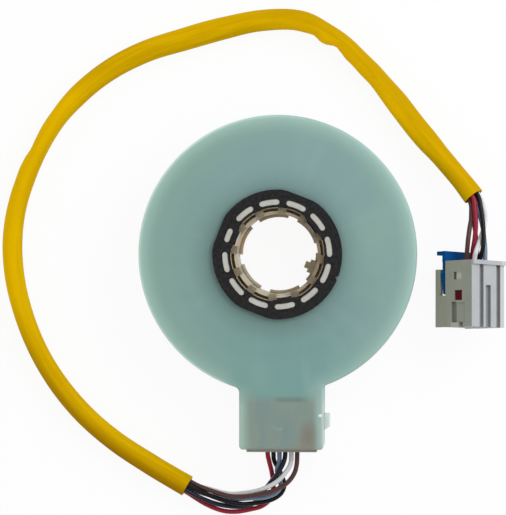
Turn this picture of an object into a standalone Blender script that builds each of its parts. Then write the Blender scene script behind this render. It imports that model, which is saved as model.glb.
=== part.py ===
"""Steering column torque and angle sensor with its wire harness and plug.

The round housing lies on its rear face with the slotted ring facing up (+Z). The tail, where the
wires leave, points to -Y. The origin is the middle of the sensor body's footprint on the surface,
so the bore's axis stands a little to the +Y side of it.

Sizes are in metres. Everything of the sensor body is modelled round the bore's axis and hangs on
one empty there. The plug has an empty of its own, turned about its long side.
"""

import math

import bmesh
import bpy
from mathutils import Matrix, Vector

MM = 0.001

# Gaps between pieces
RUN_GAP = 0.3 * MM  # between a turning piece and what it turns in
SEAT_GAP = 0.3 * MM  # between pieces that rest on each other
OVERLAP = 0.4 * MM  # how far shapes of one piece reach into each other
HAIR = 0.05 * MM  # keeps the faces of shapes that are joined from lying in one plane
PAST = 1.0 * MM  # how far a cutter reaches past what it cuts

# Housing
HOUSING_RADIUS = 40.0 * MM
HOUSING_DEPTH = 16.0 * MM
HOUSING_WALL = 2.0 * MM
RIM_ROUND = 1.6 * MM
FOOT_CHAMFER = 0.5 * MM
LID_COLLAR_HEIGHT = 2.5 * MM
LID_COLLAR_WALL = 0.9 * MM

# Tail of the housing, measured from the bore's axis
TAIL_LEFT = 11.0 * MM
TAIL_RIGHT = 13.2 * MM
TAIL_REACH = 56.1 * MM
TAIL_WALL = 1.7 * MM
TAIL_CORNER = 1.1 * MM
TAIL_ROOT = 2.8 * MM  # how far the tail's shape reaches into the disc
TAIL_OPENING = 6.0 * MM  # how far the tail's hollow reaches into the cup
TONGUE_OVERLAP = 1.5 * MM
HOLDER_STEP = 0.8 * MM  # how far the wire holder stands out of the tail
HOLDER_LENGTH = 16.1 * MM
HOLDER_WALL = 1.7 * MM
HOLDER_FRONT = 5.4 * MM
HOLDER_ROOF = 3.0 * MM
WIRE_INSIDE = 9.5 * MM  # how far the wires reach into the holder
LOCATING_TAB_WIDTH = 1.7 * MM
LOCATING_TAB_TOP = 46.1 * MM
LOCATING_TAB_LENGTH = 3.7 * MM
LOCATING_TAB_DEPTH = 6.0 * MM
LOCATING_TAB_RAMP = 0.8 * MM

# Slotted ring
RING_RADIUS = 18.6 * MM
RING_THICKNESS = 1.0 * MM
RING_BORE = 13.7 * MM
LOBE_DISTANCE = 12.8 * MM
LOBE_HALF_ANGLE = 13.5
LOBE_SHOULDER = 3.5  # degrees from a lobe's flat to the round bore
LOBE_COUNT = 3
FLAT_DISTANCE = 18.0 * MM
NOTCH_RADIUS = 17.9 * MM
NOTCH_HALF_ANGLE = 2.0
SLOT_COUNT = 12
SLOT_CIRCLE = 15.0 * MM
DOG_LENGTH = 5.9 * MM
DOG_WIDTH = 1.5 * MM
SHORT_DOG_LENGTH = 4.1 * MM
SHORT_DOG = 5  # which of the dogs is the short one
DOG_CLEARANCE = 0.15 * MM
DOG_SINK = 0.2 * MM  # how far the dogs stay below the ring's front
PATTERN_PHASE = 8.6  # degrees, where the first slot stands

# Spool, which carries the ring
SPOOL_JOURNAL = 16.7 * MM
SPOOL_BORE = 13.8 * MM
DRUM_RADIUS = 18.5 * MM
CHAMBER_RADIUS = 15.6 * MM
CHAMBER_TOP = 9.5 * MM
FLANGE_RADIUS = 29.0 * MM
FLANGE_THICKNESS = 1.0 * MM
FLANGE_LIFT = 1.5 * MM  # room for the angle wiper under the flange

# Hub
HUB_BORE = 11.5 * MM
HUB_SHOULDER = 14.6 * MM
HUB_SHOULDER_BOTTOM = 2.8 * MM
HUB_SHOULDER_TOP = 3.7 * MM
WINDOW_HALF_ANGLE = 9.5
WINDOW_RIM = 0.3 * MM
WINDOW_POCKET = 0.75 * MM
WINDOW_DEPTH = 4.5 * MM
WINDOW_SLOPE = 1.8 * MM
TAB_COUNT = 6
TAB_RADIUS = 10.65 * MM
TAB_HALF_ANGLE = 22.5
TAB_HEIGHT = 3.0 * MM
KEY_STEP_RADIUS = 9.35 * MM
KEY_STEP_WIDTH = 3.8 * MM
KEY_TIP_RADIUS = 8.15 * MM
KEY_TIP_WIDTH = 1.9 * MM
KEY_HEIGHT = 5.0 * MM
TAB_CHAMFER = 0.5 * MM

# Retainer, track boards and wipers inside
RETAINER_BORE = 12.6 * MM
RETAINER_THICKNESS = 1.0 * MM
BOARD_THICKNESS = 0.8 * MM
WIPER_THICKNESS = 0.5 * MM
WIPER_WIDTH = 0.9 * MM
WIPER_TILT = 38.0
TORQUE_WIPERS = 3
ANGLE_WIPER_LENGTH = 6.0 * MM
ANGLE_WIPER_WIDTH = 4.0 * MM
ANGLE_WIPER_GAP = 2.2 * MM  # from the drum to the wiper
FOOT_COUNT = 3
FOOT_PITCH = 2.1 * MM
FOOT_WIDTH = 0.8 * MM
FOOT_MARGIN = 0.4 * MM
BOARD_GAP = 0.8 * MM  # from the drum to the angle board

# Flat cable wound in the housing
RIBBON_THICKNESS = 0.3 * MM
RIBBON_TURNS = 5.0
RIBBON_STEPS = 24  # points a turn
RIBBON_SLACK = 0.6 * MM  # gap to the drum and, outside, to the lid's collar
RIBBON_EXIT = -112.0  # degrees, where the winding ends
RIBBON_WAY_OUT = ((0.2, -9.6), (0.5, -6.2), (0.75, -4.3), (1.0, -3.6))  # share of the way, side
RIBBON_OUT_POINTS = 12

# Wires and sleeve
WIRE_RADIUS = 0.68 * MM
WIRE_PITCH = 1.72 * MM
FIRST_WIRE = -3.2 * MM
WIRE_HEIGHT = 8.0 * MM  # where the wires leave the tail
LANE_RADIUS = 1.65 * MM
LANE_STEP = 60.0  # degrees between wires side by side in the sleeve
LANE_START = 10.0
LANE_TURN = 10.0  # how far the bundle turns from one sleeve end to the other
SLEEVE_RADIUS = 3.05 * MM
SLEEVE_WALL = 0.4 * MM
SLEEVE_STATIONS = 34
FINE = 12  # divisions between two route points
TAIL_WIRE_POINTS = 16
PLUG_WIRE_POINTS = 11

# Plug, in its own axes: X across the ribbed face, Y towards the wires, Z out of the ribbed face
PLUG_PLACE = Vector((56.5, -11.5, 11.7)) * MM
PLUG_ROLL = 47.9  # degrees about its long side
PLUG_PITCH = -4.6  # degrees, its mating end a little up
PLUG_WIDTH = 14.0 * MM
PLUG_DEPTH = 10.1 * MM
PLUG_LENGTH = 19.0 * MM
PLUG_FLANGE = 1.15 * MM
PLUG_FLANGE_EDGE = 0.6 * MM
GUARD_HEIGHT = 3.8 * MM
GUARD_WALL = 1.2 * MM
GUARD_SHORT = 2.4 * MM
GUARD_SLOT_FOOT = -0.4 * MM
RIB_GROOVES = ((-3.7, -1.95), (3.6, 5.35))  # mm across the ribbed face
SHORT_GROOVE = (-0.95, 1.2, 2.5)  # mm, its sides and upper end
CAVITY_SIZE = 1.8 * MM
CAVITY_PITCH = 2.3 * MM
CAVITY_ROW = 1.5 * MM
CAVITY_SHIFT = (0.15 * MM, 0.3 * MM)
GROOVE_DEPTH = 1.0 * MM
GUARD_SLOT = 2.05 * MM
SOCKET_WALL = 1.4 * MM
SOCKET_GAP = 0.6 * MM
SOCKET_DEPTH = 9.0 * MM
LATCH_WIDTH = 5.0 * MM
LATCH_THICKNESS = 1.1 * MM
LATCH_DROP = 0.3 * MM  # how far the latch lies below the guards' edge
LATCH_FOOT = 1.0 * MM
LATCH_ROOT = 1.6 * MM
LATCH_SHORT = 6.0 * MM
# Marks on the plug's plain side, in mm: depth, then low and high ends along and across the side
SIDE_MARKS = (
    (0.8, (4.05, 6.25), (-1.85, 1.15)), (0.7, (-8.2, -2.3), (-2.6, -1.0)),
    (0.3, (-8.2, -2.6), (-1.2, 2.4)), (1.3, (-10.75, -8.1), (0.0, 1.65)),
)
LOCK_WINDOW = 2.9 * MM
LOCK_WINDOW_Y = -0.45 * MM
LOCK_WINDOW_Z = -0.15 * MM
LOCK_BAR = 0.9 * MM
LOCK_GAP = 0.2 * MM
LOCK_BAR_WIDTH = 2.4 * MM
LOCK_FACE_THICKNESS = 0.6 * MM
CPA_THICKNESS = 0.95 * MM
CPA_LIFT = 1.4 * MM
CPA_HEAD = 2.9 * MM
CPA_LIP = 2.1 * MM
CPA_REACH = 9.3 * MM
CPA_BARB = 0.6 * MM
CPA_LEG = 1.0 * MM
CPA_OVERLAP = 1.1 * MM
CPA_LIP_THICKNESS = 1.2 * MM
CPA_TONGUE = 5.5 * MM
BARB_PLACES = (2.9 * MM, 3.0 * MM, 4.6 * MM, 6.8 * MM)  # below the head
TERMINAL_SIZE = 1.4 * MM
TERMINAL_LENGTH = 7.0 * MM
CRIMP_LENGTH = 3.5 * MM
TERMINAL_INSET = 0.6 * MM
BARREL_SHARES = (0.7, 0.8, 0.6)  # of the box's half size: across, below, above

# Routes, hand placed from the bore's axis, in millimetres. Each wire has the points from the tail
# to the sleeve and those from the sleeve to the plug.
SLEEVE_ROUTE = (
    (-26.8, -67.7, 3.4), (-31.9, -64.8, 3.2), (-37.3, -61.6, 3.1), (-47.2, -55.2, 3.1),
    (-56.2, -47.7, 3.1), (-63.8, -39.0, 3.1), (-70.0, -29.1, 3.1), (-74.5, -18.3, 3.1),
    (-77.3, -6.9, 3.1), (-77.9, 4.8, 3.1), (-75.9, 16.3, 3.1), (-71.6, 27.1, 3.1),
    (-66.0, 37.4, 3.1), (-58.5, 46.3, 3.1), (-49.4, 53.5, 3.1), (-39.0, 58.8, 3.1),
    (-27.8, 62.3, 3.1), (-16.6, 65.4, 3.1), (-5.2, 67.7, 3.1), (6.4, 67.5, 3.1),
    (16.9, 62.4, 3.1), (25.4, 54.3, 3.1), (32.9, 45.4, 3.3), (40.0, 36.2, 4.0),
    (47.5, 27.4, 5.4), (52.9, 20.9, 7.0), (56.2, 16.6, 8.2),
)
WIRE_ROUTES = {
    "wire_red": (
        ((-2.8, -60.0, 7.0), (-2.2, -62.7, 5.8), (-1.8, -65.9, 4.1), (-1.8, -68.7, 3.0),
         (-2.9, -71.7, 2.0), (-5.2, -73.6, 1.6), (-8.2, -74.5, 1.5), (-12.6, -75.2, 2.2),
         (-16.9, -74.8, 2.6), (-21.8, -72.8, 2.8)),
        ((56.6, 12.6, 10.9), (56.8, 8.6, 11.8), (56.5, 4.6, 11.7), (56.0, 1.4, 11.3)),
    ),
    "wire_black": (
        ((-1.3, -60.0, 6.4), (-0.0, -62.6, 5.2), (1.1, -65.3, 4.4), (1.5, -67.3, 4.0),
         (0.7, -69.4, 3.8), (-1.0, -70.9, 3.8), (-3.8, -72.0, 4.0), (-8.1, -72.6, 4.4),
         (-11.0, -72.7, 5.0), (-14.5, -72.1, 5.5), (-18.6, -70.8, 5.3), (-22.6, -69.2, 5.1)),
        ((58.2, 13.4, 10.6), (58.8, 9.0, 12.2), (59.0, 4.5, 12.9), (58.7, 1.2, 13.1)),
    ),
    "wire_blue": (
        ((0.2, -60.1, 7.7), (-0.5, -62.7, 7.0), (0.1, -65.1, 6.4), (0.5, -67.2, 5.8),
         (-0.9, -69.4, 5.6), (-4.2, -70.7, 5.6), (-8.4, -71.0, 5.2), (-11.5, -71.3, 4.4),
         (-14.6, -71.5, 3.6), (-19.8, -70.6, 2.5)),
        ((57.4, 13.0, 6.6), (58.6, 9.0, 7.2), (59.2, 5.0, 8.2), (59.5, 1.6, 9.4)),
    ),
    "wire_navy": (
        ((1.5, -60.2, 8.8), (-0.3, -63.5, 8.8), (-2.0, -65.7, 6.9), (-3.7, -67.9, 4.9),
         (-5.4, -70.2, 3.4), (-6.9, -72.2, 2.4), (-9.2, -73.4, 2.8), (-13.2, -73.6, 3.8),
         (-18.1, -72.8, 4.2), (-22.7, -71.1, 4.4)),
        ((55.9, 12.4, 7.2), (56.5, 8.0, 7.5), (57.0, 4.0, 7.9), (57.2, 1.0, 8.4)),
    ),
    "wire_white": (
        ((3.5, -60.6, 8.6), (1.8, -63.5, 8.6), (-0.3, -65.7, 8.5), (-3.2, -67.5, 7.6),
         (-6.6, -68.8, 6.0), (-10.5, -69.6, 4.4), (-14.6, -69.9, 3.2), (-19.8, -68.8, 2.4)),
        ((59.0, 13.6, 7.6), (59.6, 10.6, 8.2), (59.2, 7.8, 9.4), (58.4, 5.3, 10.7),
         (57.6, 3.0, 12.5), (56.8, 0.7, 14.0)),
    ),
    "wire_brown": (
        ((5.2, -61.2, 8.2), (4.2, -64.1, 8.4), (2.0, -66.6, 8.4), (-1.7, -68.6, 8.1),
         (-6.2, -69.8, 7.4), (-10.9, -70.4, 6.7), (-15.0, -70.2, 5.9), (-19.7, -68.9, 4.9),
         (-23.1, -67.7, 4.2)),
        ((55.5, 11.0, 10.2), (55.0, 7.4, 11.6), (54.5, 3.4, 12.4)),
    ),
}
# Where each wire lies in the sleeve: shares of the sleeve's length with the lane there, or None
# for the middle, through which a wire crosses to another lane.
WIRE_LANES = {
    "wire_brown": ((0.0, 0), (1.0, 0)),
    "wire_black": ((0.0, 1), (0.12, 1), (0.28, 2), (1.0, 2)),
    "wire_navy": ((0.0, 2), (0.12, 2), (0.28, 3), (0.5, 3), (0.66, 4), (0.76, 4), (0.84, None),
                  (0.92, None), (1.0, 5)),
    "wire_red": ((0.0, 3), (0.12, None), (0.28, None), (0.4, 1), (1.0, 1)),
    "wire_blue": ((0.0, 4), (0.5, 4), (0.66, 5), (0.84, 5), (0.92, 4), (1.0, 4)),
    "wire_white": ((0.0, 5), (0.4, 5), (0.5, None), (0.66, None), (0.76, 3), (1.0, 3)),
}
# Order of the wires in the tail, and the plug cavity of each: column and row
WIRE_ORDER = ("wire_red", "wire_black", "wire_blue", "wire_navy", "wire_white", "wire_brown")
WIRE_CAVITIES = {
    "wire_brown": (-1, -1), "wire_red": (0, -1), "wire_navy": (1, -1),
    "wire_white": (-1, 1), "wire_black": (0, 1), "wire_blue": (1, 1),
}

# Facets round a full turn
BIG_ROUND = 60
SMALL_ROUND = 40
INNER_ROUND = 36

# Sizes that follow from those above
BORE_Y = (TAIL_REACH + HOLDER_STEP - HOUSING_RADIUS) / 2
BORE_RADIUS = SPOOL_JOURNAL + RUN_GAP
LID_RADIUS = HOUSING_RADIUS - HOUSING_WALL - SEAT_GAP
PLATE_BOTTOM = HOUSING_DEPTH - HOUSING_WALL
RING_BOTTOM = HOUSING_DEPTH + RUN_GAP
RING_TOP = RING_BOTTOM + RING_THICKNESS
SPOOL_BOTTOM = RUN_GAP
SPOOL_TOP = RING_BOTTOM - SEAT_GAP
FLANGE_BOTTOM = HOUSING_WALL + SEAT_GAP + BOARD_THICKNESS + FLANGE_LIFT
FLANGE_TOP = FLANGE_BOTTOM + FLANGE_THICKNESS
HUB_RADIUS = SPOOL_BORE - RUN_GAP
HUB_TOP = RING_BOTTOM - RUN_GAP
HUB_BOTTOM = SPOOL_BOTTOM + RETAINER_THICKNESS + RUN_GAP
KEY_ANGLE = PATTERN_PHASE - 360 / SLOT_COUNT
HOLDER_END = TAIL_REACH + HOLDER_STEP
HOLDER_START = HOLDER_END - HOLDER_LENGTH
TAIL_ROOF = PLATE_BOTTOM - 2 * HAIR
HOLDER_LEFT = -(TAIL_LEFT - TAIL_WALL - SEAT_GAP)
HOLDER_RIGHT = TAIL_RIGHT - TAIL_WALL - SEAT_GAP
HOLDER_BOTTOM = HOUSING_WALL + SEAT_GAP
HOLDER_TOP = TAIL_ROOF - SEAT_GAP
JOINT_BOARD_TOP = WIRE_HEIGHT - WIRE_RADIUS - SEAT_GAP
WIRE_START = HOLDER_END - WIRE_INSIDE
PLUG_PITCHED = Matrix.Rotation(math.radians(PLUG_PITCH), 3, "X")
PLUG_TURN = PLUG_PITCHED @ Matrix.Rotation(math.radians(PLUG_ROLL), 3, "Y")
FLANGE_UNDERSIDE = PLUG_LENGTH / 2 - PLUG_FLANGE
LATCH_FACE = -PLUG_DEPTH / 2
GUARD_EDGE = LATCH_FACE - GUARD_HEIGHT
CPA_FACE = LATCH_FACE - SEAT_GAP
CPA_BACK = CPA_FACE - CPA_THICKNESS
TERMINAL_END = TERMINAL_INSET + TERMINAL_LENGTH + CRIMP_LENGTH - PLUG_LENGTH / 2
WIRE_END_Y = TERMINAL_END + 3 * SEAT_GAP


# Tools


def clear_scene():
    for item in list(bpy.data.objects):
        bpy.data.objects.remove(item, do_unlink=True)


def new_collection(name, hidden=False):
    group = bpy.data.collections.new(name)
    group.hide_render = hidden
    bpy.context.scene.collection.children.link(group)
    return group


clear_scene()
PARTS = new_collection("steering_angle_sensor")
CUTTERS = new_collection("cutters", hidden=True)


def new_empty(name, place, turn=Matrix.Identity(3)):
    item = bpy.data.objects.new(name, None)
    item.location = place
    item.rotation_euler = turn.to_euler()
    PARTS.objects.link(item)
    return item


def new_material(name, colour, roughness=0.5, metallic=0.0, transmission=0.0):
    made = bpy.data.materials.new(name)
    made.use_nodes = True
    shader = made.node_tree.nodes["Principled BSDF"]
    shader.inputs["Base Color"].default_value = (*colour, 1.0)
    shader.inputs["Roughness"].default_value = roughness
    shader.inputs["Metallic"].default_value = metallic
    shader.inputs["Transmission Weight"].default_value = transmission
    return made


def place_mesh(name, mesh, parent, look=None, helper=False):
    """An object from a mesh: a visible piece, or a helper that cuts or joins and stays unseen."""
    item = bpy.data.objects.new(name, mesh)
    item.parent = parent
    if helper:
        CUTTERS.objects.link(item)
        item.hide_render = True
        item.display_type = "WIRE"
    else:
        PARTS.objects.link(item)
        mesh.materials.append(look)
    return item


def mesh_from(name, shape):
    bmesh.ops.recalc_face_normals(shape, faces=shape.faces)
    mesh = bpy.data.meshes.new(name)
    shape.to_mesh(mesh)
    shape.free()
    return mesh


def smooth_shade(item, degrees=35.0):
    item.data.shade_smooth()
    item.data.set_sharp_from_angle(angle=math.radians(degrees))


def freeze(item):
    """Replaces an object's modifiers by the mesh they give."""
    graph = bpy.context.evaluated_depsgraph_get()
    mesh = bpy.data.meshes.new_from_object(item.evaluated_get(graph))
    item.modifiers.clear()
    item.data = mesh
    return item


def revolved(name, profile, facets, parent, look=None, helper=False):
    """A turned solid. The profile holds (radius, height), down the outer side and up the inner."""
    mesh = bpy.data.meshes.new(name)
    points = [(radius, 0.0, height) for radius, height in profile]
    edges = [(i, (i + 1) % len(points)) for i in range(len(points))]
    mesh.from_pydata(points, edges, [])
    item = place_mesh(name, mesh, parent, look, helper)
    turn = item.modifiers.new("turn", "SCREW")
    turn.angle = math.tau
    turn.steps = facets
    turn.render_steps = facets
    turn.use_merge_vertices = True
    turn.merge_threshold = 0.00001
    freeze(item)
    if not helper and not item.data.materials:
        item.data.materials.append(look)
    return item


def annulus(name, inner, outer, bottom, top, parent, look, facets=SMALL_ROUND):
    profile = ((inner, top), (outer, top), (outer, bottom), (inner, bottom))
    return revolved(name, profile, facets, parent, look)


def extruded(name, loops, bottom, top, parent, look=None, helper=False):
    """A flat outline with its holes, given thickness between two heights."""
    curve = bpy.data.curves.new(name, "CURVE")
    curve.dimensions = "2D"
    curve.fill_mode = "BOTH"
    curve.extrude = (top - bottom) / 2
    for loop in loops:
        spline = curve.splines.new("POLY")
        spline.points.add(len(loop) - 1)
        for point, (x, y) in zip(spline.points, loop):
            point.co = (x, y, 0.0, 1.0)
        spline.use_cyclic_u = True
    guide = bpy.data.objects.new(name + "_outline", curve)
    CUTTERS.objects.link(guide)
    graph = bpy.context.evaluated_depsgraph_get()
    mesh = bpy.data.meshes.new_from_object(guide.evaluated_get(graph))
    bpy.data.objects.remove(guide)
    bpy.data.curves.remove(curve)
    shape = bmesh.new()
    shape.from_mesh(mesh)
    bmesh.ops.remove_doubles(shape, verts=shape.verts, dist=0.000001)
    bmesh.ops.translate(shape, verts=shape.verts, vec=(0.0, 0.0, (top + bottom) / 2))
    bpy.data.meshes.remove(mesh)
    return place_mesh(name, mesh_from(name, shape), parent, look, helper)


def swept(name, sectors, parent, look=None, helper=False):
    """Pieces of a turned shape: each sector is (profile, middle angle, half angle, steps)."""
    shape = bmesh.new()
    for profile, middle, half, steps in sectors:
        start = math.radians(middle - half)
        turn_x, turn_y = math.cos(start), math.sin(start)
        corners = [shape.verts.new((r * turn_x, r * turn_y, z)) for r, z in profile]
        face = shape.faces.new(corners)
        bmesh.ops.spin(
            shape, geom=[face], axis=(0, 0, 1), cent=(0, 0, 0),
            angle=math.radians(2 * half), steps=steps, use_merge=False,
        )
    return place_mesh(name, mesh_from(name, shape), parent, look, helper)


def blocks(name, corners, parent, look=None, helper=False, turn=0.0):
    """Boxes, each given by its low and high corner, turned together about the Z axis."""
    shape = bmesh.new()
    for low, high in corners:
        low, high = Vector(low), Vector(high)
        made = bmesh.ops.create_cube(shape, size=1.0)["verts"]
        bmesh.ops.scale(shape, vec=high - low, verts=made)
        bmesh.ops.translate(shape, vec=(high + low) / 2, verts=made)
    item = place_mesh(name, mesh_from(name, shape), parent, look, helper)
    item.rotation_euler = (0.0, 0.0, math.radians(turn))
    return item


def combine(item, other, operation):
    step = item.modifiers.new(operation.lower() + "_" + other.name, "BOOLEAN")
    step.operation = operation
    step.solver = "EXACT"
    step.object = other


def join(item, other):
    combine(item, other, "UNION")


def cut(item, other):
    combine(item, other, "DIFFERENCE")


def arc(centre, radius, first, last, count):
    """Points on an arc, both ends included. Angles in degrees."""
    angles = [math.radians(first + (last - first) * i / (count - 1)) for i in range(count)]
    return [(centre[0] + radius * math.cos(a), centre[1] + radius * math.sin(a)) for a in angles]


def curved_slot(middle, length, width):
    """Outline of a slot with round ends that follows the slot circle."""
    half = width / 2
    reach = math.degrees((length - width) / 2 / SLOT_CIRCLE)
    outer = arc((0, 0), SLOT_CIRCLE + half, middle - reach, middle + reach, 4)
    inner = arc((0, 0), SLOT_CIRCLE - half, middle + reach, middle - reach, 4)
    ends = []
    for side in (1, -1):
        angle = math.radians(middle + side * reach)
        centre = (SLOT_CIRCLE * math.cos(angle), SLOT_CIRCLE * math.sin(angle))
        out = math.degrees(angle) + (0 if side > 0 else 180)
        ends.append(arc(centre, half, out, out + 180, 5)[1:-1])
    return outer + ends[0] + inner + ends[1]


def pattern_angle(index):
    return PATTERN_PHASE + index * 360 / SLOT_COUNT


def slot_outlines(grow=0.0):
    loops = []
    for index in range(SLOT_COUNT):
        length = SHORT_DOG_LENGTH if index == SHORT_DOG else DOG_LENGTH
        loops.append(curved_slot(pattern_angle(index), length + 2 * grow, DOG_WIDTH + 2 * grow))
    return loops


def through(points):
    """A smooth line through the points: Catmull-Rom, finely divided."""
    points = [Vector(p) for p in points]
    ends = [2 * points[0] - points[1], 2 * points[-1] - points[-2]]
    padded = [ends[0], *points, ends[1]]
    line = []
    for a, b, c, d in zip(padded, padded[1:], padded[2:], padded[3:]):
        for i in range(FINE):
            t = i / FINE
            line.append(
                b + (c - a) * t / 2
                + (2 * a - 5 * b + 4 * c - d) * t * t / 2
                + (3 * b - a - 3 * c + d) * t ** 3 / 2
            )
    return [*line, points[-1]]


def spaced(line, count):
    """The line again with this many points, evenly spaced along it."""
    reach = [0.0]
    for a, b in zip(line, line[1:]):
        reach.append(reach[-1] + (b - a).length)
    found, index = [], 0
    for i in range(count):
        goal = reach[-1] * i / (count - 1)
        while index < len(line) - 2 and reach[index + 1] < goal:
            index += 1
        share = (goal - reach[index]) / (reach[index + 1] - reach[index])
        found.append(line[index].lerp(line[index + 1], min(max(share, 0.0), 1.0)))
    return found


def tube(name, line, radius, parent, look, closed_ends=True):
    curve = bpy.data.curves.new(name, "CURVE")
    curve.dimensions = "3D"
    curve.bevel_depth = radius
    curve.bevel_resolution = 2
    curve.use_fill_caps = closed_ends
    spline = curve.splines.new("POLY")
    spline.points.add(len(line) - 1)
    for point, place in zip(spline.points, line):
        point.co = (*place, 1.0)
    curve.materials.append(look)
    item = bpy.data.objects.new(name, curve)
    item.parent = parent
    PARTS.objects.link(item)
    return item


# Housing


def front_cover(axis, look):
    """The cup: front plate, round skirt and the tail's roof and sides in one moulding."""
    corner = (HOUSING_RADIUS - RIM_ROUND, HOUSING_DEPTH - RIM_ROUND)
    skirt = HOUSING_RADIUS - HOUSING_WALL
    profile = [(BORE_RADIUS, HOUSING_DEPTH)]
    profile += arc(corner, RIM_ROUND, 90, 0, 5)
    profile += [
        (HOUSING_RADIUS, FOOT_CHAMFER), (HOUSING_RADIUS - FOOT_CHAMFER, 0.0), (skirt, 0.0),
        (skirt, PLATE_BOTTOM), (BORE_RADIUS, PLATE_BOTTOM),
    ]
    cover = revolved("front_cover", profile, BIG_ROUND, axis, look)
    root = HOUSING_RADIUS - TAIL_ROOT
    outline = [(-TAIL_LEFT, -root)]
    outline += arc((TAIL_CORNER - TAIL_LEFT, TAIL_CORNER - TAIL_REACH), TAIL_CORNER, 180, 270, 4)
    outline += arc((TAIL_RIGHT - TAIL_CORNER, TAIL_CORNER - TAIL_REACH), TAIL_CORNER, 270, 360, 4)
    outline += [(TAIL_RIGHT, -root)]
    tail = extruded("tail_shape", [outline], 0.0, HOUSING_DEPTH - HAIR, axis, helper=True)
    join(cover, tail)
    inside = (
        (TAIL_WALL - TAIL_LEFT, -HOLDER_END - PAST, -PAST),
        (TAIL_RIGHT - TAIL_WALL, -root + TAIL_OPENING, TAIL_ROOF),
    )
    cut(cover, blocks("tail_inside", [inside], axis, helper=True))
    low = -LOCATING_TAB_TOP - LOCATING_TAB_LENGTH
    side = TAIL_RIGHT - OVERLAP
    out = TAIL_RIGHT + LOCATING_TAB_WIDTH
    foot = low - LOCATING_TAB_RAMP
    tab = [
        (side, -LOCATING_TAB_TOP), (side, foot), (TAIL_RIGHT + 2 * HAIR, foot),
        (out, low), (out, -LOCATING_TAB_TOP),
    ]
    middle = HOUSING_DEPTH / 2
    half = LOCATING_TAB_DEPTH / 2
    join(cover, extruded("tab_shape", [tab], middle - half, middle + half, axis, helper=True))
    smooth_shade(cover)
    return cover


def rear_cover(axis, look):
    """The lid that closes the cup from behind, with a tongue under the tail."""
    inner = LID_RADIUS - LID_COLLAR_WALL
    top = HOUSING_WALL + LID_COLLAR_HEIGHT
    profile = (
        (BORE_RADIUS, HOUSING_WALL), (inner, HOUSING_WALL), (inner, top), (LID_RADIUS, top),
        (LID_RADIUS, 0.0), (BORE_RADIUS, 0.0),
    )
    lid = revolved("rear_cover", profile, BIG_ROUND, axis, look)
    tongue = (
        (HOLDER_LEFT, -TAIL_REACH + SEAT_GAP, 0.0),
        (HOLDER_RIGHT, -inner + TONGUE_OVERLAP, HOUSING_WALL - HAIR),
    )
    join(lid, blocks("lid_tongue", [tongue], axis, helper=True))
    smooth_shade(lid)
    return lid


def wire_holder(axis, look):
    """The insert in the tail's mouth that holds the wires, hollow round the joint board."""
    body = (
        (HOLDER_LEFT, -HOLDER_END, HOLDER_BOTTOM),
        (HOLDER_RIGHT, -HOLDER_START, HOLDER_TOP),
    )
    hollow = (
        (HOLDER_LEFT + HOLDER_WALL, -HOLDER_END + HOLDER_FRONT, HOLDER_BOTTOM - PAST),
        (HOLDER_RIGHT - HOLDER_WALL, -HOLDER_START - HOLDER_WALL, HOLDER_TOP - HOLDER_ROOF),
    )
    side = WIRE_RADIUS + SEAT_GAP
    last = FIRST_WIRE + (len(WIRE_ORDER) - 1) * WIRE_PITCH
    mouth = (
        (FIRST_WIRE - side, -HOLDER_END - PAST, WIRE_HEIGHT - side - 2 * HAIR),
        (last + side, -HOLDER_END + HOLDER_FRONT + OVERLAP, WIRE_HEIGHT + side + 2 * HAIR),
    )
    holder = blocks("wire_holder", [body], axis, look)
    cut(holder, blocks("holder_hollow", [hollow], axis, helper=True))
    cut(holder, blocks("holder_mouth", [mouth], axis, helper=True))
    board = (
        (hollow[0][0] + SEAT_GAP, hollow[0][1] + SEAT_GAP, JOINT_BOARD_TOP - BOARD_THICKNESS),
        (hollow[1][0] - SEAT_GAP, hollow[1][1] - SEAT_GAP, JOINT_BOARD_TOP),
    )
    return holder, board


def ribbon_cable(axis, look):
    """Flat cable wound round the drum, its outer end led into the tail."""
    first = DRUM_RADIUS + RIBBON_SLACK
    last = LID_RADIUS - LID_COLLAR_WALL - RIBBON_SLACK
    steps = round(RIBBON_TURNS * RIBBON_STEPS)
    end = math.radians(RIBBON_EXIT)
    line = []
    for i in range(steps + 1):
        share = i / steps
        angle = end - (1 - share) * RIBBON_TURNS * math.tau
        radius = first + (last - first) * share
        line.append(Vector((radius * math.cos(angle), radius * math.sin(angle), 0.0)))
    way_out = [line[-2], line[-1]]
    for share, side in RIBBON_WAY_OUT:
        reach = last + (HOLDER_START - SEAT_GAP - last) * share
        if share == RIBBON_WAY_OUT[0][0]:  # still on the winding's circle
            reach = math.sqrt(reach ** 2 - (side * MM) ** 2)
        way_out.append(Vector((side * MM, -reach, 0.0)))
    line += spaced(through(way_out), RIBBON_OUT_POINTS)[3:]
    height = (PLATE_BOTTOM - SEAT_GAP) - (FLANGE_TOP + SEAT_GAP)
    curve = bpy.data.curves.new("ribbon_cable", "CURVE")
    curve.dimensions = "3D"
    curve.extrude = height / 2
    spline = curve.splines.new("POLY")
    spline.points.add(len(line) - 1)
    for point, place in zip(spline.points, line):
        point.co = (*place, 1.0)
    guide = bpy.data.objects.new("ribbon_guide", curve)
    CUTTERS.objects.link(guide)
    graph = bpy.context.evaluated_depsgraph_get()
    mesh = bpy.data.meshes.new_from_object(guide.evaluated_get(graph))
    mesh.name = "ribbon_cable"
    bpy.data.objects.remove(guide)
    bpy.data.curves.remove(curve)
    item = place_mesh("ribbon_cable", mesh, axis, look)
    item.location = (0.0, 0.0, FLANGE_TOP + SEAT_GAP + height / 2)
    skin = item.modifiers.new("thickness", "SOLIDIFY")
    skin.thickness = RIBBON_THICKNESS
    skin.offset = 0.0
    return item


# Rotor


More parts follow.
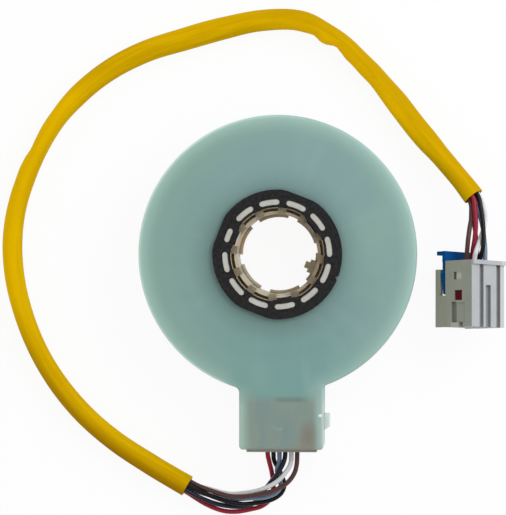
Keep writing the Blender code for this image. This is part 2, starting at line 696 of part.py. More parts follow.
def ring_outline():
    """Outer edge of the slotted ring: three flats and one notch, at the places of the slots."""
    quarter = 360 / 4
    marks = [KEY_ANGLE + quarter * i for i in (1, 2, 3)]
    points = []
    for i in range(BIG_ROUND):
        angle = KEY_ANGLE + i * 360 / BIG_ROUND
        if i == 0:
            for turn, radius in ((-1, RING_RADIUS), (0, NOTCH_RADIUS), (1, RING_RADIUS)):
                place = math.radians(angle + turn * NOTCH_HALF_ANGLE)
                points.append((radius * math.cos(place), radius * math.sin(place)))
            continue
        radius = RING_RADIUS
        for mark in marks:
            away = math.radians((angle - mark + 180) % 360 - 180)
            if abs(away) < math.pi / 4:
                radius = min(radius, FLAT_DISTANCE / math.cos(away))
        place = math.radians(angle)
        points.append((radius * math.cos(place), radius * math.sin(place)))
    return points


def ring_bore():
    """Inner edge of the slotted ring, with the lobes that hold the hub down."""
    points = []
    step = 360 / LOBE_COUNT
    for lobe in range(LOBE_COUNT):
        middle = pattern_angle(1) + lobe * step
        reach = LOBE_DISTANCE / math.cos(math.radians(LOBE_HALF_ANGLE))
        points += arc((0, 0), reach, middle - LOBE_HALF_ANGLE, middle + LOBE_HALF_ANGLE, 2)
        beside = LOBE_HALF_ANGLE + LOBE_SHOULDER
        points += arc((0, 0), RING_BORE, middle + beside, middle + step - beside, 18)
    return points


def rotor_ring(axis, look):
    loops = [ring_outline(), ring_bore(), *slot_outlines(DOG_CLEARANCE)]
    ring = extruded("rotor_ring", loops, RING_BOTTOM, RING_TOP, axis, look)
    smooth_shade(ring)
    return ring


def rotor_spool(axis, look):
    """The drum with its flange, whose twelve dogs stand up into the ring's slots."""
    profile = (
        (SPOOL_BORE, SPOOL_TOP), (SPOOL_JOURNAL, SPOOL_TOP),
        (SPOOL_JOURNAL, PLATE_BOTTOM - RUN_GAP), (DRUM_RADIUS, PLATE_BOTTOM - RUN_GAP),
        (DRUM_RADIUS, FLANGE_TOP), (FLANGE_RADIUS, FLANGE_TOP), (FLANGE_RADIUS, FLANGE_BOTTOM),
        (DRUM_RADIUS, FLANGE_BOTTOM), (DRUM_RADIUS, HOUSING_WALL + RUN_GAP),
        (SPOOL_JOURNAL, HOUSING_WALL + RUN_GAP), (SPOOL_JOURNAL, SPOOL_BOTTOM),
        (CHAMBER_RADIUS, SPOOL_BOTTOM), (CHAMBER_RADIUS, CHAMBER_TOP), (SPOOL_BORE, CHAMBER_TOP),
    )
    spool = revolved("rotor_spool", profile, SMALL_ROUND, axis, look)
    top = RING_TOP - DOG_SINK
    dogs = extruded("dog_shapes", slot_outlines(), SPOOL_TOP - OVERLAP, top, axis, helper=True)
    join(spool, dogs)
    smooth_shade(spool)
    return spool


def hub(axis, look):
    """The inner sleeve: windowed rim, six tabs round the bore and the stepped key."""
    profile = (
        (HUB_BORE, HUB_TOP), (HUB_RADIUS, HUB_TOP), (HUB_RADIUS, HUB_SHOULDER_TOP),
        (HUB_SHOULDER, HUB_SHOULDER_TOP), (HUB_SHOULDER, HUB_SHOULDER_BOTTOM),
        (HUB_RADIUS, HUB_SHOULDER_BOTTOM), (HUB_RADIUS, HUB_BOTTOM), (HUB_BORE, HUB_BOTTOM),
    )
    sleeve = revolved("hub", profile, BIG_ROUND, axis, look)
    above = HUB_TOP + PAST
    outside = HUB_RADIUS - WINDOW_RIM
    inside = outside - WINDOW_POCKET
    rise = WINDOW_SLOPE / (inside - HUB_BORE)
    edge = HUB_BORE - PAST / 2
    lip = HUB_TOP - 2 * HAIR
    window = (
        (edge, above), (outside, above), (outside, HUB_TOP - WINDOW_DEPTH),
        (inside, HUB_TOP - WINDOW_DEPTH), (inside, lip), (edge, lip - rise * (inside - edge)),
    )
    windows = [(window, pattern_angle(i), WINDOW_HALF_ANGLE, 2) for i in range(SLOT_COUNT)]
    cut(sleeve, swept("window_shapes", windows, axis, helper=True))
    root = HUB_BORE + OVERLAP
    tab_top = HUB_BOTTOM + TAB_HEIGHT
    tab = (
        (TAB_RADIUS, tab_top - TAB_CHAMFER / 2), (TAB_RADIUS + TAB_CHAMFER, tab_top),
        (root, tab_top), (root, HUB_BOTTOM + HAIR), (TAB_RADIUS, HUB_BOTTOM + HAIR),
    )
    step = 360 / TAB_COUNT
    tabs = [(tab, KEY_ANGLE + i * step, TAB_HALF_ANGLE, 6) for i in range(TAB_COUNT)]
    join(sleeve, swept("tab_shapes", tabs, axis, helper=True))
    bottom = HUB_BOTTOM + 2 * HAIR
    top = HUB_BOTTOM + KEY_HEIGHT
    foot = (
        (KEY_STEP_RADIUS, -KEY_STEP_WIDTH / 2, bottom), (root, KEY_STEP_WIDTH / 2, top),
    )
    tip = (
        (KEY_TIP_RADIUS, -KEY_TIP_WIDTH / 2, bottom + 2 * HAIR),
        (KEY_STEP_RADIUS + OVERLAP, KEY_TIP_WIDTH / 2, top - 2 * HAIR),
    )
    join(sleeve, blocks("key_foot", [foot], axis, helper=True, turn=KEY_ANGLE))
    join(sleeve, blocks("key_tip", [tip], axis, helper=True, turn=KEY_ANGLE))
    smooth_shade(sleeve)
    return sleeve


def torque_wiper(axis, look):
    """Ring on the hub's shoulder with spring fingers up to the torque board."""
    bottom = HUB_SHOULDER_TOP + SEAT_GAP
    top = bottom + WIPER_THICKNESS
    inner = HUB_RADIUS + SEAT_GAP
    outer = CHAMBER_RADIUS - RUN_GAP
    ring = annulus("torque_wiper", inner, outer, bottom, top, axis, look, INNER_ROUND)
    tip = CHAMBER_TOP - 2 * SEAT_GAP - BOARD_THICKNESS
    rise = tip - bottom - WIPER_THICKNESS * math.cos(math.radians(WIPER_TILT))
    length = rise / math.sin(math.radians(WIPER_TILT))
    run = length * math.cos(math.radians(WIPER_TILT))
    middle = (inner + outer) / 2
    for i in range(TORQUE_WIPERS):
        finger = blocks(
            f"finger_{i + 1}",
            [((-WIPER_WIDTH / 2, 0.0, 0.0), (WIPER_WIDTH / 2, length, WIPER_THICKNESS))],
            axis, helper=True,
        )
        angle = math.radians(PATTERN_PHASE) + math.tau * i / TORQUE_WIPERS
        back = Vector((middle, -run / 2, bottom + HAIR))
        finger.rotation_euler = (math.radians(WIPER_TILT), 0.0, angle)
        finger.location = Matrix.Rotation(angle, 3, "Z") @ back
        join(ring, finger)
    return ring


def angle_wiper(axis, look):
    """Spring contact under the spool's flange that rubs on the angle board."""
    board_top = HOUSING_WALL + SEAT_GAP + BOARD_THICKNESS
    plate_top = FLANGE_BOTTOM - SEAT_GAP
    first = DRUM_RADIUS + ANGLE_WIPER_GAP
    last = first + ANGLE_WIPER_LENGTH
    half = ANGLE_WIPER_WIDTH / 2
    plate = ((first, -half, plate_top - WIPER_THICKNESS), (last, half, plate_top))
    feet = []
    for i in range(FOOT_COUNT):
        start = first + FOOT_MARGIN + i * FOOT_PITCH
        feet.append((
            (start, -FOOT_WIDTH - FOOT_MARGIN, board_top + SEAT_GAP),
            (start + WIPER_WIDTH, -FOOT_MARGIN, plate_top - WIPER_THICKNESS / 2),
        ))
    wiper = blocks("angle_wiper", [plate], axis, look)
    join(wiper, blocks("wiper_feet", feet, axis, helper=True))
    return wiper


# Harness


def sleeve_frames():
    """The sleeve's centre line with, at each station, the way to the loop's inside and up."""
    line = spaced(through([Vector(p) * MM for p in SLEEVE_ROUTE]), SLEEVE_STATIONS)
    frames = []
    for i, place in enumerate(line):
        ahead = line[min(i + 1, len(line) - 1)] - line[max(i - 1, 0)]
        ahead.normalize()
        inward = Vector((ahead.y, -ahead.x, 0.0)).normalized()
        up = inward.cross(ahead)
        frames.append((place, inward, up if up.z > 0 else -up))
    return frames


def lane_place(lanes, share):
    """Distance from the sleeve's centre and angle of a wire at a share of the sleeve's length."""
    def spot(lane, other):
        if lane is None:
            return 0.0, LANE_STEP * (other or 0)
        return LANE_RADIUS, LANE_STEP * lane
    for (a, lane_a), (b, lane_b) in zip(lanes, lanes[1:]):
        if share <= b:
            break
    part = (share - a) / (b - a)
    part = part * part * (3 - 2 * part)
    radius_a, angle_a = spot(lane_a, lane_b)
    radius_b, angle_b = spot(lane_b, lane_a)
    radius = radius_a + (radius_b - radius_a) * part
    angle = angle_a + (angle_b - angle_a) * part
    return radius, math.radians(angle + LANE_START + LANE_TURN * share)


def plug_point(x, y, z):
    """A point of the plug's own axes as a place round the bore's axis."""
    return PLUG_PLACE + PLUG_TURN @ Vector((x, y, z))


def cavity_centre(wire):
    column, row = WIRE_CAVITIES[wire]
    aside, above = CAVITY_SHIFT
    return column * CAVITY_PITCH + aside, row * CAVITY_ROW + above


def wire_line(wire, frames):
    """One wire from the joint board through the sleeve to its crimp in the plug."""
    side = FIRST_WIRE + WIRE_PITCH * WIRE_ORDER.index(wire)
    near, far = WIRE_ROUTES[wire]
    start = [Vector((side, -WIRE_START, WIRE_HEIGHT)), Vector((side, -HOLDER_END, WIRE_HEIGHT))]
    inside = []
    for i, (place, inward, up) in enumerate(frames):
        radius, angle = lane_place(WIRE_LANES[wire], i / (len(frames) - 1))
        inside.append(place + inward * radius * math.cos(angle) + up * radius * math.sin(angle))
    x, z = cavity_centre(wire)
    end = [plug_point(x, PLUG_LENGTH / 2, z), plug_point(x, WIRE_END_Y, z)]
    near = [Vector(p) * MM for p in near]
    far = [Vector(p) * MM for p in far]
    before = through([*start, *near, inside[0], inside[1]])[:-FINE]
    after = through([inside[-2], inside[-1], *far, *end])[FINE:]
    return [
        *spaced(before, TAIL_WIRE_POINTS)[:-1], *inside, *spaced(after, PLUG_WIRE_POINTS)[1:],
    ]


def harness(axis, looks):
    frames = sleeve_frames()
    wires = [
        tube(wire, wire_line(wire, frames), WIRE_RADIUS, axis, looks[wire])
        for wire in WIRE_ORDER
    ]
    centre = [place for place, _, _ in frames]
    sleeve = tube(
        "sleeve", centre, SLEEVE_RADIUS, axis, looks["sleeve"], closed_ends=False,
    )
    graph = bpy.context.evaluated_depsgraph_get()
    mesh = bpy.data.meshes.new_from_object(sleeve.evaluated_get(graph))
    curve = sleeve.data
    bpy.data.objects.remove(sleeve)
    bpy.data.curves.remove(curve)
    sleeve = place_mesh("sleeve", mesh, axis, looks["sleeve"])
    skin = sleeve.modifiers.new("wall", "SOLIDIFY")
    skin.thickness = SLEEVE_WALL
    skin.offset = -1.0
    return wires, sleeve


# Plug


def plug_housing(plug, look):
    """The plug's body: flange, ribbed face, latch between two guards, six cavities and a socket."""
    half_x, half_y, half_z = PLUG_WIDTH / 2, PLUG_LENGTH / 2, PLUG_DEPTH / 2
    body = blocks(
        "plug_housing", [((-half_x, -half_y, -half_z), (half_x, half_y, half_z))], plug, look,
    )
    latch_x, latch_foot = LATCH_WIDTH / 2, LATCH_FOOT - half_y
    latch_low = GUARD_EDGE + LATCH_DROP
    added = [
        (
            (-half_x + HAIR, FLANGE_UNDERSIDE, -half_z + HAIR),
            (half_x + PLUG_FLANGE_EDGE, half_y + HAIR, half_z + PLUG_FLANGE_EDGE),
        ),
        (
            (-latch_x, latch_foot, latch_low),
            (latch_x, half_y - LATCH_SHORT, latch_low + LATCH_THICKNESS),
        ),
        (
            (-latch_x + 2 * HAIR, latch_foot + 2 * HAIR, latch_low + 2 * HAIR),
            (latch_x - 2 * HAIR, latch_foot + LATCH_ROOT, -half_z + OVERLAP),
        ),
    ]
    for side in (-1, 1):
        edges = sorted((side * (half_x - HAIR), side * (half_x - GUARD_WALL)))
        added.append((
            (edges[0], -half_y + HAIR, GUARD_EDGE),
            (edges[1], half_y - GUARD_SHORT, -half_z + OVERLAP),
        ))
    for i, corners in enumerate(added):
        join(body, blocks(f"plug_added_{i + 1}", [corners], plug, helper=True))
    floor, front = half_z - GROOVE_DEPTH, half_z + PAST
    ribs = [
        ((left * MM, -half_y - PAST, floor), (right * MM, FLANGE_UNDERSIDE, front))
        for left, right in RIB_GROOVES
    ]
    left, right, end = SHORT_GROOVE
    ribs.append(((left * MM, -half_y - PAST, floor), (right * MM, end * MM, front)))
    outside = -half_x - PAST
    side_cuts = [
        ((outside, low * MM, back * MM), (-half_x + depth * MM, high * MM, fore * MM))
        for depth, (low, high), (back, fore) in SIDE_MARKS
    ]
    window = LOCK_WINDOW / 2
    side_cuts.append((
        (outside, LOCK_WINDOW_Y - window, LOCK_WINDOW_Z - window),
        (-half_x + 2 * LOCK_FACE_THICKNESS, LOCK_WINDOW_Y + window, LOCK_WINDOW_Z + window),
    ))
    bar = LOCK_BAR / 2 + LOCK_GAP
    bar_side = LOCK_BAR_WIDTH / 2 + LOCK_GAP
    tunnel = (
        (-half_x - PAST, LOCK_WINDOW_Y - bar_side, -bar),
        (half_x + PAST, LOCK_WINDOW_Y + bar_side, bar),
    )
    slots = []
    for side in (-1, 1):
        edges = sorted((side * (half_x + PAST), side * (half_x - GUARD_WALL - HAIR)))
        slots.append((
            (edges[0], GUARD_SLOT_FOOT, -half_z - GUARD_SLOT), (edges[1], half_y, -half_z - HAIR),
        ))
    cavity = CAVITY_SIZE / 2
    cavities = []
    for wire in WIRE_ORDER:
        x, z = cavity_centre(wire)
        cavities.append((
            (x - cavity, -half_y - PAST, z - cavity), (x + cavity, half_y + PAST, z + cavity),
        ))
    for name, group in (
        ("plug_ribs", ribs), ("plug_slots", slots), ("plug_cavities", cavities),
        ("plug_tunnel", [tunnel]),
    ):
        cut(body, blocks(name, group, plug, helper=True))
    for i, corners in enumerate(side_cuts):
        cut(body, blocks(f"plug_side_{i + 1}", [corners], plug, helper=True))
    outer_x = half_x - SOCKET_WALL
    outer_z = half_z - SOCKET_WALL - 2 * HAIR
    inner_x = outer_x - SOCKET_GAP
    inner_z = outer_z - SOCKET_GAP
    socket = [
        [(-outer_x, -outer_z), (outer_x, -outer_z), (outer_x, outer_z), (-outer_x, outer_z)],
        [(-inner_x, -inner_z), (inner_x, -inner_z), (inner_x, inner_z), (-inner_x, inner_z)],
    ]
    recess = extruded("plug_socket", socket, 0.0, SOCKET_DEPTH + PAST, plug, helper=True)
    recess.rotation_euler = (math.radians(90), 0.0, 0.0)
    recess.location = (0.0, -half_y + SOCKET_DEPTH, 0.0)
    cut(body, recess)
    return body


def secondary_lock(plug, look):
    """The bar across the plug that keeps the terminals in, seen through the side window."""
    half_x, side = PLUG_WIDTH / 2, LOCK_BAR_WIDTH / 2
    sunk = LOCK_FACE_THICKNESS / 2
    bar = (
        (-half_x + LOCK_FACE_THICKNESS, LOCK_WINDOW_Y - side, -LOCK_BAR / 2),
        (half_x - sunk, LOCK_WINDOW_Y + side, LOCK_BAR / 2),
    )
    head = LOCK_WINDOW / 2 - LOCK_GAP
    face = (
        (-half_x + sunk, LOCK_WINDOW_Y - head, LOCK_WINDOW_Z - head),
        (-half_x + sunk + LOCK_FACE_THICKNESS, LOCK_WINDOW_Y + head, LOCK_WINDOW_Z + head),
    )
    lock = blocks("secondary_lock", [bar], plug, look)
    join(lock, blocks("lock_face", [face], plug, helper=True))
    return lock


def position_lock(plug, look):
    """The slide that blocks the latch: a head with a lip, two legs in the guards and a tongue."""
    half_x = PLUG_WIDTH / 2 - 2 * HAIR
    head_bottom = PLUG_LENGTH / 2 - CPA_LIFT + CPA_OVERLAP
    head_top = PLUG_LENGTH / 2 + CPA_HEAD
    back = CPA_BACK
    plate = ((-half_x, head_bottom, back), (half_x, head_top, CPA_FACE))
    lip = (
        (-half_x + HAIR, head_top - CPA_LIP_THICKNESS, back - CPA_LIP),
        (half_x - HAIR, head_top - HAIR, back + OVERLAP),
    )
    slide = blocks("position_lock", [plate], plug, look)
    join(slide, blocks("lock_lip", [lip], plug, helper=True))
    tip = head_bottom - CPA_REACH
    face, rear = CPA_FACE - HAIR, back + HAIR
    first, barb, barb_end, ramp_end = (head_bottom - place for place in BARB_PLACES)
    outline = [
        (head_bottom + OVERLAP, rear), (first, rear), (barb, rear - CPA_BARB),
        (barb_end, rear - CPA_BARB), (ramp_end, rear + HAIR), (tip + OVERLAP, rear + 3 * HAIR),
        (tip, rear + OVERLAP), (tip, face - OVERLAP / 2), (tip + OVERLAP / 2, face),
        (head_bottom + OVERLAP, face),
    ]
    for side in (-1, 1):
        edges = sorted((side * (half_x - CPA_LEG), side * (half_x - HAIR)))
        name = "leg_left" if side < 0 else "leg_right"
        shape = extruded(name, [outline], edges[0], edges[1], plug, helper=True)
        shape.rotation_euler = (math.radians(90), 0.0, math.radians(90))
        join(slide, shape)
    tongue_x = LATCH_WIDTH / 2 - OVERLAP
    tongue = (
        (-tongue_x, head_bottom - CPA_TONGUE, back + 2 * HAIR),
        (tongue_x, head_bottom + OVERLAP, CPA_FACE - HAIR),
    )
    join(slide, blocks("lock_tongue", [tongue], plug, helper=True))
    return slide


def terminal(number, wire, plug, look):
    """A crimped contact: box in front, barrel behind it."""
    x, z = cavity_centre(wire)
    half = TERMINAL_SIZE / 2
    neck = TERMINAL_END - CRIMP_LENGTH
    box = ((x - half, neck - TERMINAL_LENGTH, z - half), (x + half, neck, z + half))
    across, below, over = (half * share for share in BARREL_SHARES)
    barrel = (
        (x - across, neck - OVERLAP, z - below), (x + across, TERMINAL_END, z + over),
    )
    contact = blocks(f"terminal_{number}", [box], plug, look)
    join(contact, blocks(f"barrel_{number}", [barrel], plug, helper=True))
    return contact


def build():
    axis = new_empty("bore_axis", (0.0, BORE_Y, 0.0))
    plug = new_empty("plug_axes", PLUG_PLACE, PLUG_TURN)
    plug.parent = axis

    mint = new_material("mint_nylon", (0.23, 0.37, 0.33), 0.45)
    mint_lid = new_material("mint_lid", (0.22, 0.35, 0.32), 0.5)
    black = new_material("black_nylon", (0.02, 0.02, 0.024), 0.55)
    white = new_material("white_nylon", (0.5, 0.49, 0.45), 0.5)
    amber = new_material("amber_resin", (0.35, 0.26, 0.12), 0.25, transmission=0.5)
    steel = new_material("spring_steel", (0.5, 0.5, 0.5), 0.3, 1.0)
    brass = new_material("contact_bronze", (0.75, 0.55, 0.28), 0.3, 1.0)
    tin = new_material("tinned_copper", (0.62, 0.6, 0.57), 0.35, 1.0)
    grey_insert = new_material("grey_insert", (0.3, 0.3, 0.28), 0.6)
    board = new_material("board", (0.05, 0.16, 0.08), 0.5)
    film = new_material("track_film", (0.03, 0.03, 0.03), 0.4)
    ribbon = new_material("ribbon_film", (0.5, 0.3, 0.1), 0.35)
    grey = new_material("plug_grey", (0.5, 0.51, 0.5), 0.5)
    red = new_material("lock_red", (0.35, 0.02, 0.03), 0.45)
    blue = new_material("lock_blue", (0.0, 0.1, 0.35), 0.4)
    looks = {
        "sleeve": new_material("sleeve_yellow", (0.68, 0.4, 0.0), 0.4),
        "wire_red": new_material("wire_red", (0.35, 0.01, 0.04), 0.4),
        "wire_black": new_material("wire_black", (0.015, 0.015, 0.015), 0.4),
        "wire_blue": new_material("wire_blue", (0.2, 0.35, 0.55), 0.4),
        "wire_navy": new_material("wire_navy", (0.03, 0.03, 0.08), 0.4),
        "wire_white": new_material("wire_white", (0.75, 0.75, 0.78), 0.4),
        "wire_brown": new_material("wire_brown", (0.12, 0.05, 0.045), 0.4),
    }

    front_cover(axis, mint)
    rear_cover(axis, mint_lid)
    _, joint_board = wire_holder(axis, grey_insert)
    blocks("joint_board", [joint_board], axis, board)
    ribbon_cable(axis, ribbon)
    annulus(
        "angle_board", DRUM_RADIUS + BOARD_GAP, LID_RADIUS - LID_COLLAR_WALL - SEAT_GAP,
        HOUSING_WALL + SEAT_GAP, HOUSING_WALL + SEAT_GAP + BOARD_THICKNESS, axis, film,
    )

    rotor_ring(axis, black)
    rotor_spool(axis, white)
    annulus(
        "torque_board", SPOOL_BORE + SEAT_GAP, CHAMBER_RADIUS - SEAT_GAP,
        CHAMBER_TOP - SEAT_GAP - BOARD_THICKNESS, CHAMBER_TOP - SEAT_GAP, axis, film, INNER_ROUND,
    )
    annulus(
        "hub_retainer", RETAINER_BORE, CHAMBER_RADIUS - SEAT_GAP, SPOOL_BOTTOM,
        SPOOL_BOTTOM + RETAINER_THICKNESS, axis, steel, INNER_ROUND,
    )
    angle_wiper(axis, brass)

    hub(axis, amber)
    torque_wiper(axis, brass)

    harness(axis, looks)
    plug_housing(plug, grey)
    secondary_lock(plug, red)
    position_lock(plug, blue)
    for number, wire in enumerate(WIRE_ORDER, 1):
        terminal(number, wire, plug, tin)


build()
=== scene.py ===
"""Studio scene of the steering angle sensor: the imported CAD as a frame, dressed to match the photo.

Lengths are in millimetres in the tables and in the materials' masks, and MM turns them into
metres. Angles are in degrees, and colours are as they show on a screen, 0 to 255, unless a comment
says otherwise. Places are measured from the bore's axis, which stands at BORE in the frame.
"""

import math

import bmesh
import bpy
from mathutils import Matrix, Vector


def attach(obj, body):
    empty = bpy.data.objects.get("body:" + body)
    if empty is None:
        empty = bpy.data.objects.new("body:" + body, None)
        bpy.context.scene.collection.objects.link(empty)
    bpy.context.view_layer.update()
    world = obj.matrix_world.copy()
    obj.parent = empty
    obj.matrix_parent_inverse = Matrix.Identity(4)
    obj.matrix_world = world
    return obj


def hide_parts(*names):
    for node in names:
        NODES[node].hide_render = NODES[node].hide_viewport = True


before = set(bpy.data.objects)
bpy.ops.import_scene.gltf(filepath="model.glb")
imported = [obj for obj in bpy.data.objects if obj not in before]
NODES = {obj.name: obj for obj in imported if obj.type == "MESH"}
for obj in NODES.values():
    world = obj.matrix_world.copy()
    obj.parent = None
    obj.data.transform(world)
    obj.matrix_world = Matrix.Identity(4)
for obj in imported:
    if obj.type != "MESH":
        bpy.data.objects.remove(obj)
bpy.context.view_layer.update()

MM = 0.001
BORE = Vector((0.0, 8.45, 0.0)) * MM

# Wires and sleeve: the same route as in the CAD, measured from the bore's axis
HOLDER_END = 56.9 * MM
WIRE_START = 47.4 * MM
WIRE_RADIUS = 0.68 * MM
WIRE_PITCH = 1.72 * MM
FIRST_WIRE = -3.2 * MM
WIRE_HEIGHT = 8.0 * MM
LANE_RADIUS = 1.65 * MM
LANE_STEP = 60.0
LANE_START = 10.0
LANE_TURN = 10.0
SLEEVE_RADIUS = 3.05 * MM
SLEEVE_WALL = 0.3 * MM
PLUG_PLACE = Vector((56.5, -11.5, 11.7)) * MM
PLUG_ROLL = 47.9
PLUG_PITCH = -4.6
PLUG_LENGTH = 19.0 * MM
WIRE_END_Y = 2.5 * MM
CAVITY_PITCH = 2.3 * MM
CAVITY_ROW = 1.5 * MM
CAVITY_SHIFT = (0.15 * MM, 0.3 * MM)
PLUG_TURN = (
    Matrix.Rotation(math.radians(PLUG_PITCH), 3, "X")
    @ Matrix.Rotation(math.radians(PLUG_ROLL), 3, "Y")
)

SLEEVE_ROUTE = (
    (-26.8, -67.7, 3.4), (-31.9, -64.8, 3.2), (-37.3, -61.6, 3.1), (-47.2, -55.2, 3.1),
    (-56.2, -47.7, 3.1), (-63.8, -39.0, 3.1), (-70.0, -29.1, 3.1), (-74.5, -18.3, 3.1),
    (-77.3, -6.9, 3.1), (-77.9, 4.8, 3.1), (-75.9, 16.3, 3.1), (-71.6, 27.1, 3.1),
    (-66.0, 37.4, 3.1), (-58.5, 46.3, 3.1), (-49.4, 53.5, 3.1), (-39.0, 58.8, 3.1),
    (-27.8, 62.3, 3.1), (-16.6, 65.4, 3.1), (-5.2, 67.7, 3.1), (6.4, 67.5, 3.1),
    (16.9, 62.4, 3.1), (25.4, 54.3, 3.1), (32.9, 45.4, 3.3), (40.0, 36.2, 4.0),
    (47.5, 27.4, 5.4), (52.9, 20.9, 7.0), (56.2, 16.6, 8.2),
)
WIRE_ROUTES = {
    "wire_red": (
        ((-2.8, -60.0, 7.0), (-2.2, -62.7, 5.8), (-1.8, -65.9, 4.1), (-1.8, -68.7, 3.0),
         (-2.9, -71.7, 2.0), (-5.2, -73.6, 1.6), (-8.2, -74.5, 1.5), (-12.6, -75.2, 2.2),
         (-16.9, -74.8, 2.6), (-21.8, -72.8, 2.8)),
        ((56.6, 12.6, 10.9), (56.8, 8.6, 11.8), (56.5, 4.6, 11.7), (56.0, 1.4, 11.3)),
    ),
    "wire_black": (
        ((-1.3, -60.0, 6.4), (-0.0, -62.6, 5.2), (1.1, -65.3, 4.4), (1.5, -67.3, 4.0),
         (0.7, -69.4, 3.8), (-1.0, -70.9, 3.8), (-3.8, -72.0, 4.0), (-8.1, -72.6, 4.4),
         (-11.0, -72.7, 5.0), (-14.5, -72.1, 5.5), (-18.6, -70.8, 5.3), (-22.6, -69.2, 5.1)),
        ((58.2, 13.4, 10.6), (58.8, 9.0, 12.2), (59.0, 4.5, 12.9), (58.7, 1.2, 13.1)),
    ),
    "wire_blue": (
        ((0.2, -60.1, 7.7), (-0.5, -62.7, 7.0), (0.1, -65.1, 6.4), (0.5, -67.2, 5.8),
         (-0.9, -69.4, 5.6), (-4.2, -70.7, 5.6), (-8.4, -71.0, 5.2), (-11.5, -71.3, 4.4),
         (-14.6, -71.5, 3.6), (-19.8, -70.6, 2.5)),
        ((57.4, 13.0, 6.6), (58.6, 9.0, 7.2), (59.2, 5.0, 8.2), (59.5, 1.6, 9.4)),
    ),
    "wire_navy": (
        ((1.5, -60.2, 8.8), (-0.3, -63.5, 8.8), (-2.0, -65.7, 6.9), (-3.7, -67.9, 4.9),
         (-5.4, -70.2, 3.4), (-6.9, -72.2, 2.4), (-9.2, -73.4, 2.8), (-13.2, -73.6, 3.8),
         (-18.1, -72.8, 4.2), (-22.7, -71.1, 4.4)),
        ((55.9, 12.4, 7.2), (56.5, 8.0, 7.5), (57.0, 4.0, 7.9), (57.2, 1.0, 8.4)),
    ),
    "wire_white": (
        ((3.5, -60.6, 8.6), (1.8, -63.5, 8.6), (-0.3, -65.7, 8.5), (-3.2, -67.5, 7.6),
         (-6.6, -68.8, 6.0), (-10.5, -69.6, 4.4), (-14.6, -69.9, 3.2), (-19.8, -68.8, 2.4)),
        ((59.0, 13.6, 7.6), (59.6, 10.6, 8.2), (59.2, 7.8, 9.4), (58.4, 5.3, 10.7),
         (57.6, 3.0, 12.5), (56.8, 0.7, 14.0)),
    ),
    "wire_brown": (
        ((5.2, -61.2, 8.2), (4.2, -64.1, 8.4), (2.0, -66.6, 8.4), (-1.7, -68.6, 8.1),
         (-6.2, -69.8, 7.4), (-10.9, -70.4, 6.7), (-15.0, -70.2, 5.9), (-19.7, -68.9, 4.9),
         (-23.1, -67.7, 4.2)),
        ((55.5, 11.0, 10.2), (55.0, 7.4, 11.6), (54.5, 3.4, 12.4)),
    ),
}
WIRE_LANES = {
    "wire_brown": ((0.0, 0), (1.0, 0)),
    "wire_black": ((0.0, 1), (0.12, 1), (0.28, 2), (1.0, 2)),
    "wire_navy": ((0.0, 2), (0.12, 2), (0.28, 3), (0.5, 3), (0.66, 4), (0.76, 4), (0.84, None),
                  (0.92, None), (1.0, 5)),
    "wire_red": ((0.0, 3), (0.12, None), (0.28, None), (0.4, 1), (1.0, 1)),
    "wire_blue": ((0.0, 4), (0.5, 4), (0.66, 5), (0.84, 5), (0.92, 4), (1.0, 4)),
    "wire_white": ((0.0, 5), (0.4, 5), (0.5, None), (0.66, None), (0.76, 3), (1.0, 3)),
}
WIRE_ORDER = ("wire_red", "wire_black", "wire_blue", "wire_navy", "wire_white", "wire_brown")
WIRE_CAVITIES = {
    "wire_brown": (-1, -1), "wire_red": (0, -1), "wire_navy": (1, -1),
    "wire_white": (-1, 1), "wire_black": (0, 1), "wire_blue": (1, 1),
}
# Half widths of the sleeve as seen from above, at shares of its length
SLEEVE_WIDTHS = (
    (0.0, 3.15), (0.03, 3.1), (0.12, 2.95), (0.22, 2.75), (0.32, 2.9), (0.38, 2.75), (0.42, 2.45),
    (0.46, 2.6), (0.5, 3.0), (0.58, 3.2), (0.64, 3.35), (0.7, 3.1), (0.745, 3.0), (0.775, 2.42),
    (0.81, 2.45), (0.84, 2.8), (0.88, 3.3), (0.92, 3.3), (0.95, 2.9), (0.975, 2.85), (1.0, 3.05),
)
# The soft fold on the loop's inner side, and the small bend on its outer side, as extra width
SLEEVE_FOLD = (
    (0.0, 0.0), (0.761, 0.0), (0.771, 0.95), (0.776, 1.15), (0.782, 0.5), (0.789, -0.25),
    (0.796, 0.1), (0.806, 0.55), (0.82, 0.4), (0.845, 0.0), (1.0, 0.0),
)
SLEEVE_BEND = (
    (0.0, 0.0), (0.385, 0.0), (0.405, 0.35), (0.412, 0.3), (0.425, -0.15), (0.45, 0.0), (1.0, 0.0),
)
# The sleeve's mesh: stations along it, points round it, and how far it rises where it is narrow
SLEEVE_STATIONS = 240
SLEEVE_AROUND = 40
SLEEVE_RISE = 0.25 * MM
SLEEVE_SHARP_ANGLE = 50.0
# A wire's line: steps between the points of its route, stations in the sleeve, steps between them
ROUTE_STEPS = 12
WIRE_STATIONS = 34
INSIDE_STEPS = 4
WIRE_PLAY = 0.02 * MM
WIRE_BEVEL = 6

# Housing, as in the CAD, with the soft necks between disc and tail
HOUSING_RADIUS = 40.0 * MM
HOUSING_DEPTH = 16.0 * MM
HOUSING_WALL = 2.0 * MM
PLATE_BOTTOM = HOUSING_DEPTH - HOUSING_WALL
BORE_RADIUS = 17.0 * MM
RIM_ROUND = 0.7 * MM
FOOT_CHAMFER = 0.5 * MM
TAIL_LEFT = 11.0 * MM
TAIL_RIGHT = 13.2 * MM
TAIL_REACH = 56.1 * MM
TAIL_WALL = 1.7 * MM
TAIL_CORNER = 1.1 * MM
TAIL_ROUND = 0.6 * MM
NECK_ROUND = 1.8 * MM
# Where the tail's hollow starts, how much thicker its roof is than the front plate, and how far
# the cutters reach past what they cut
TAIL_HOLLOW_START = 31.2 * MM
TAIL_ROOF_EXTRA = 0.1 * MM
CUT_PAST = 1.0 * MM
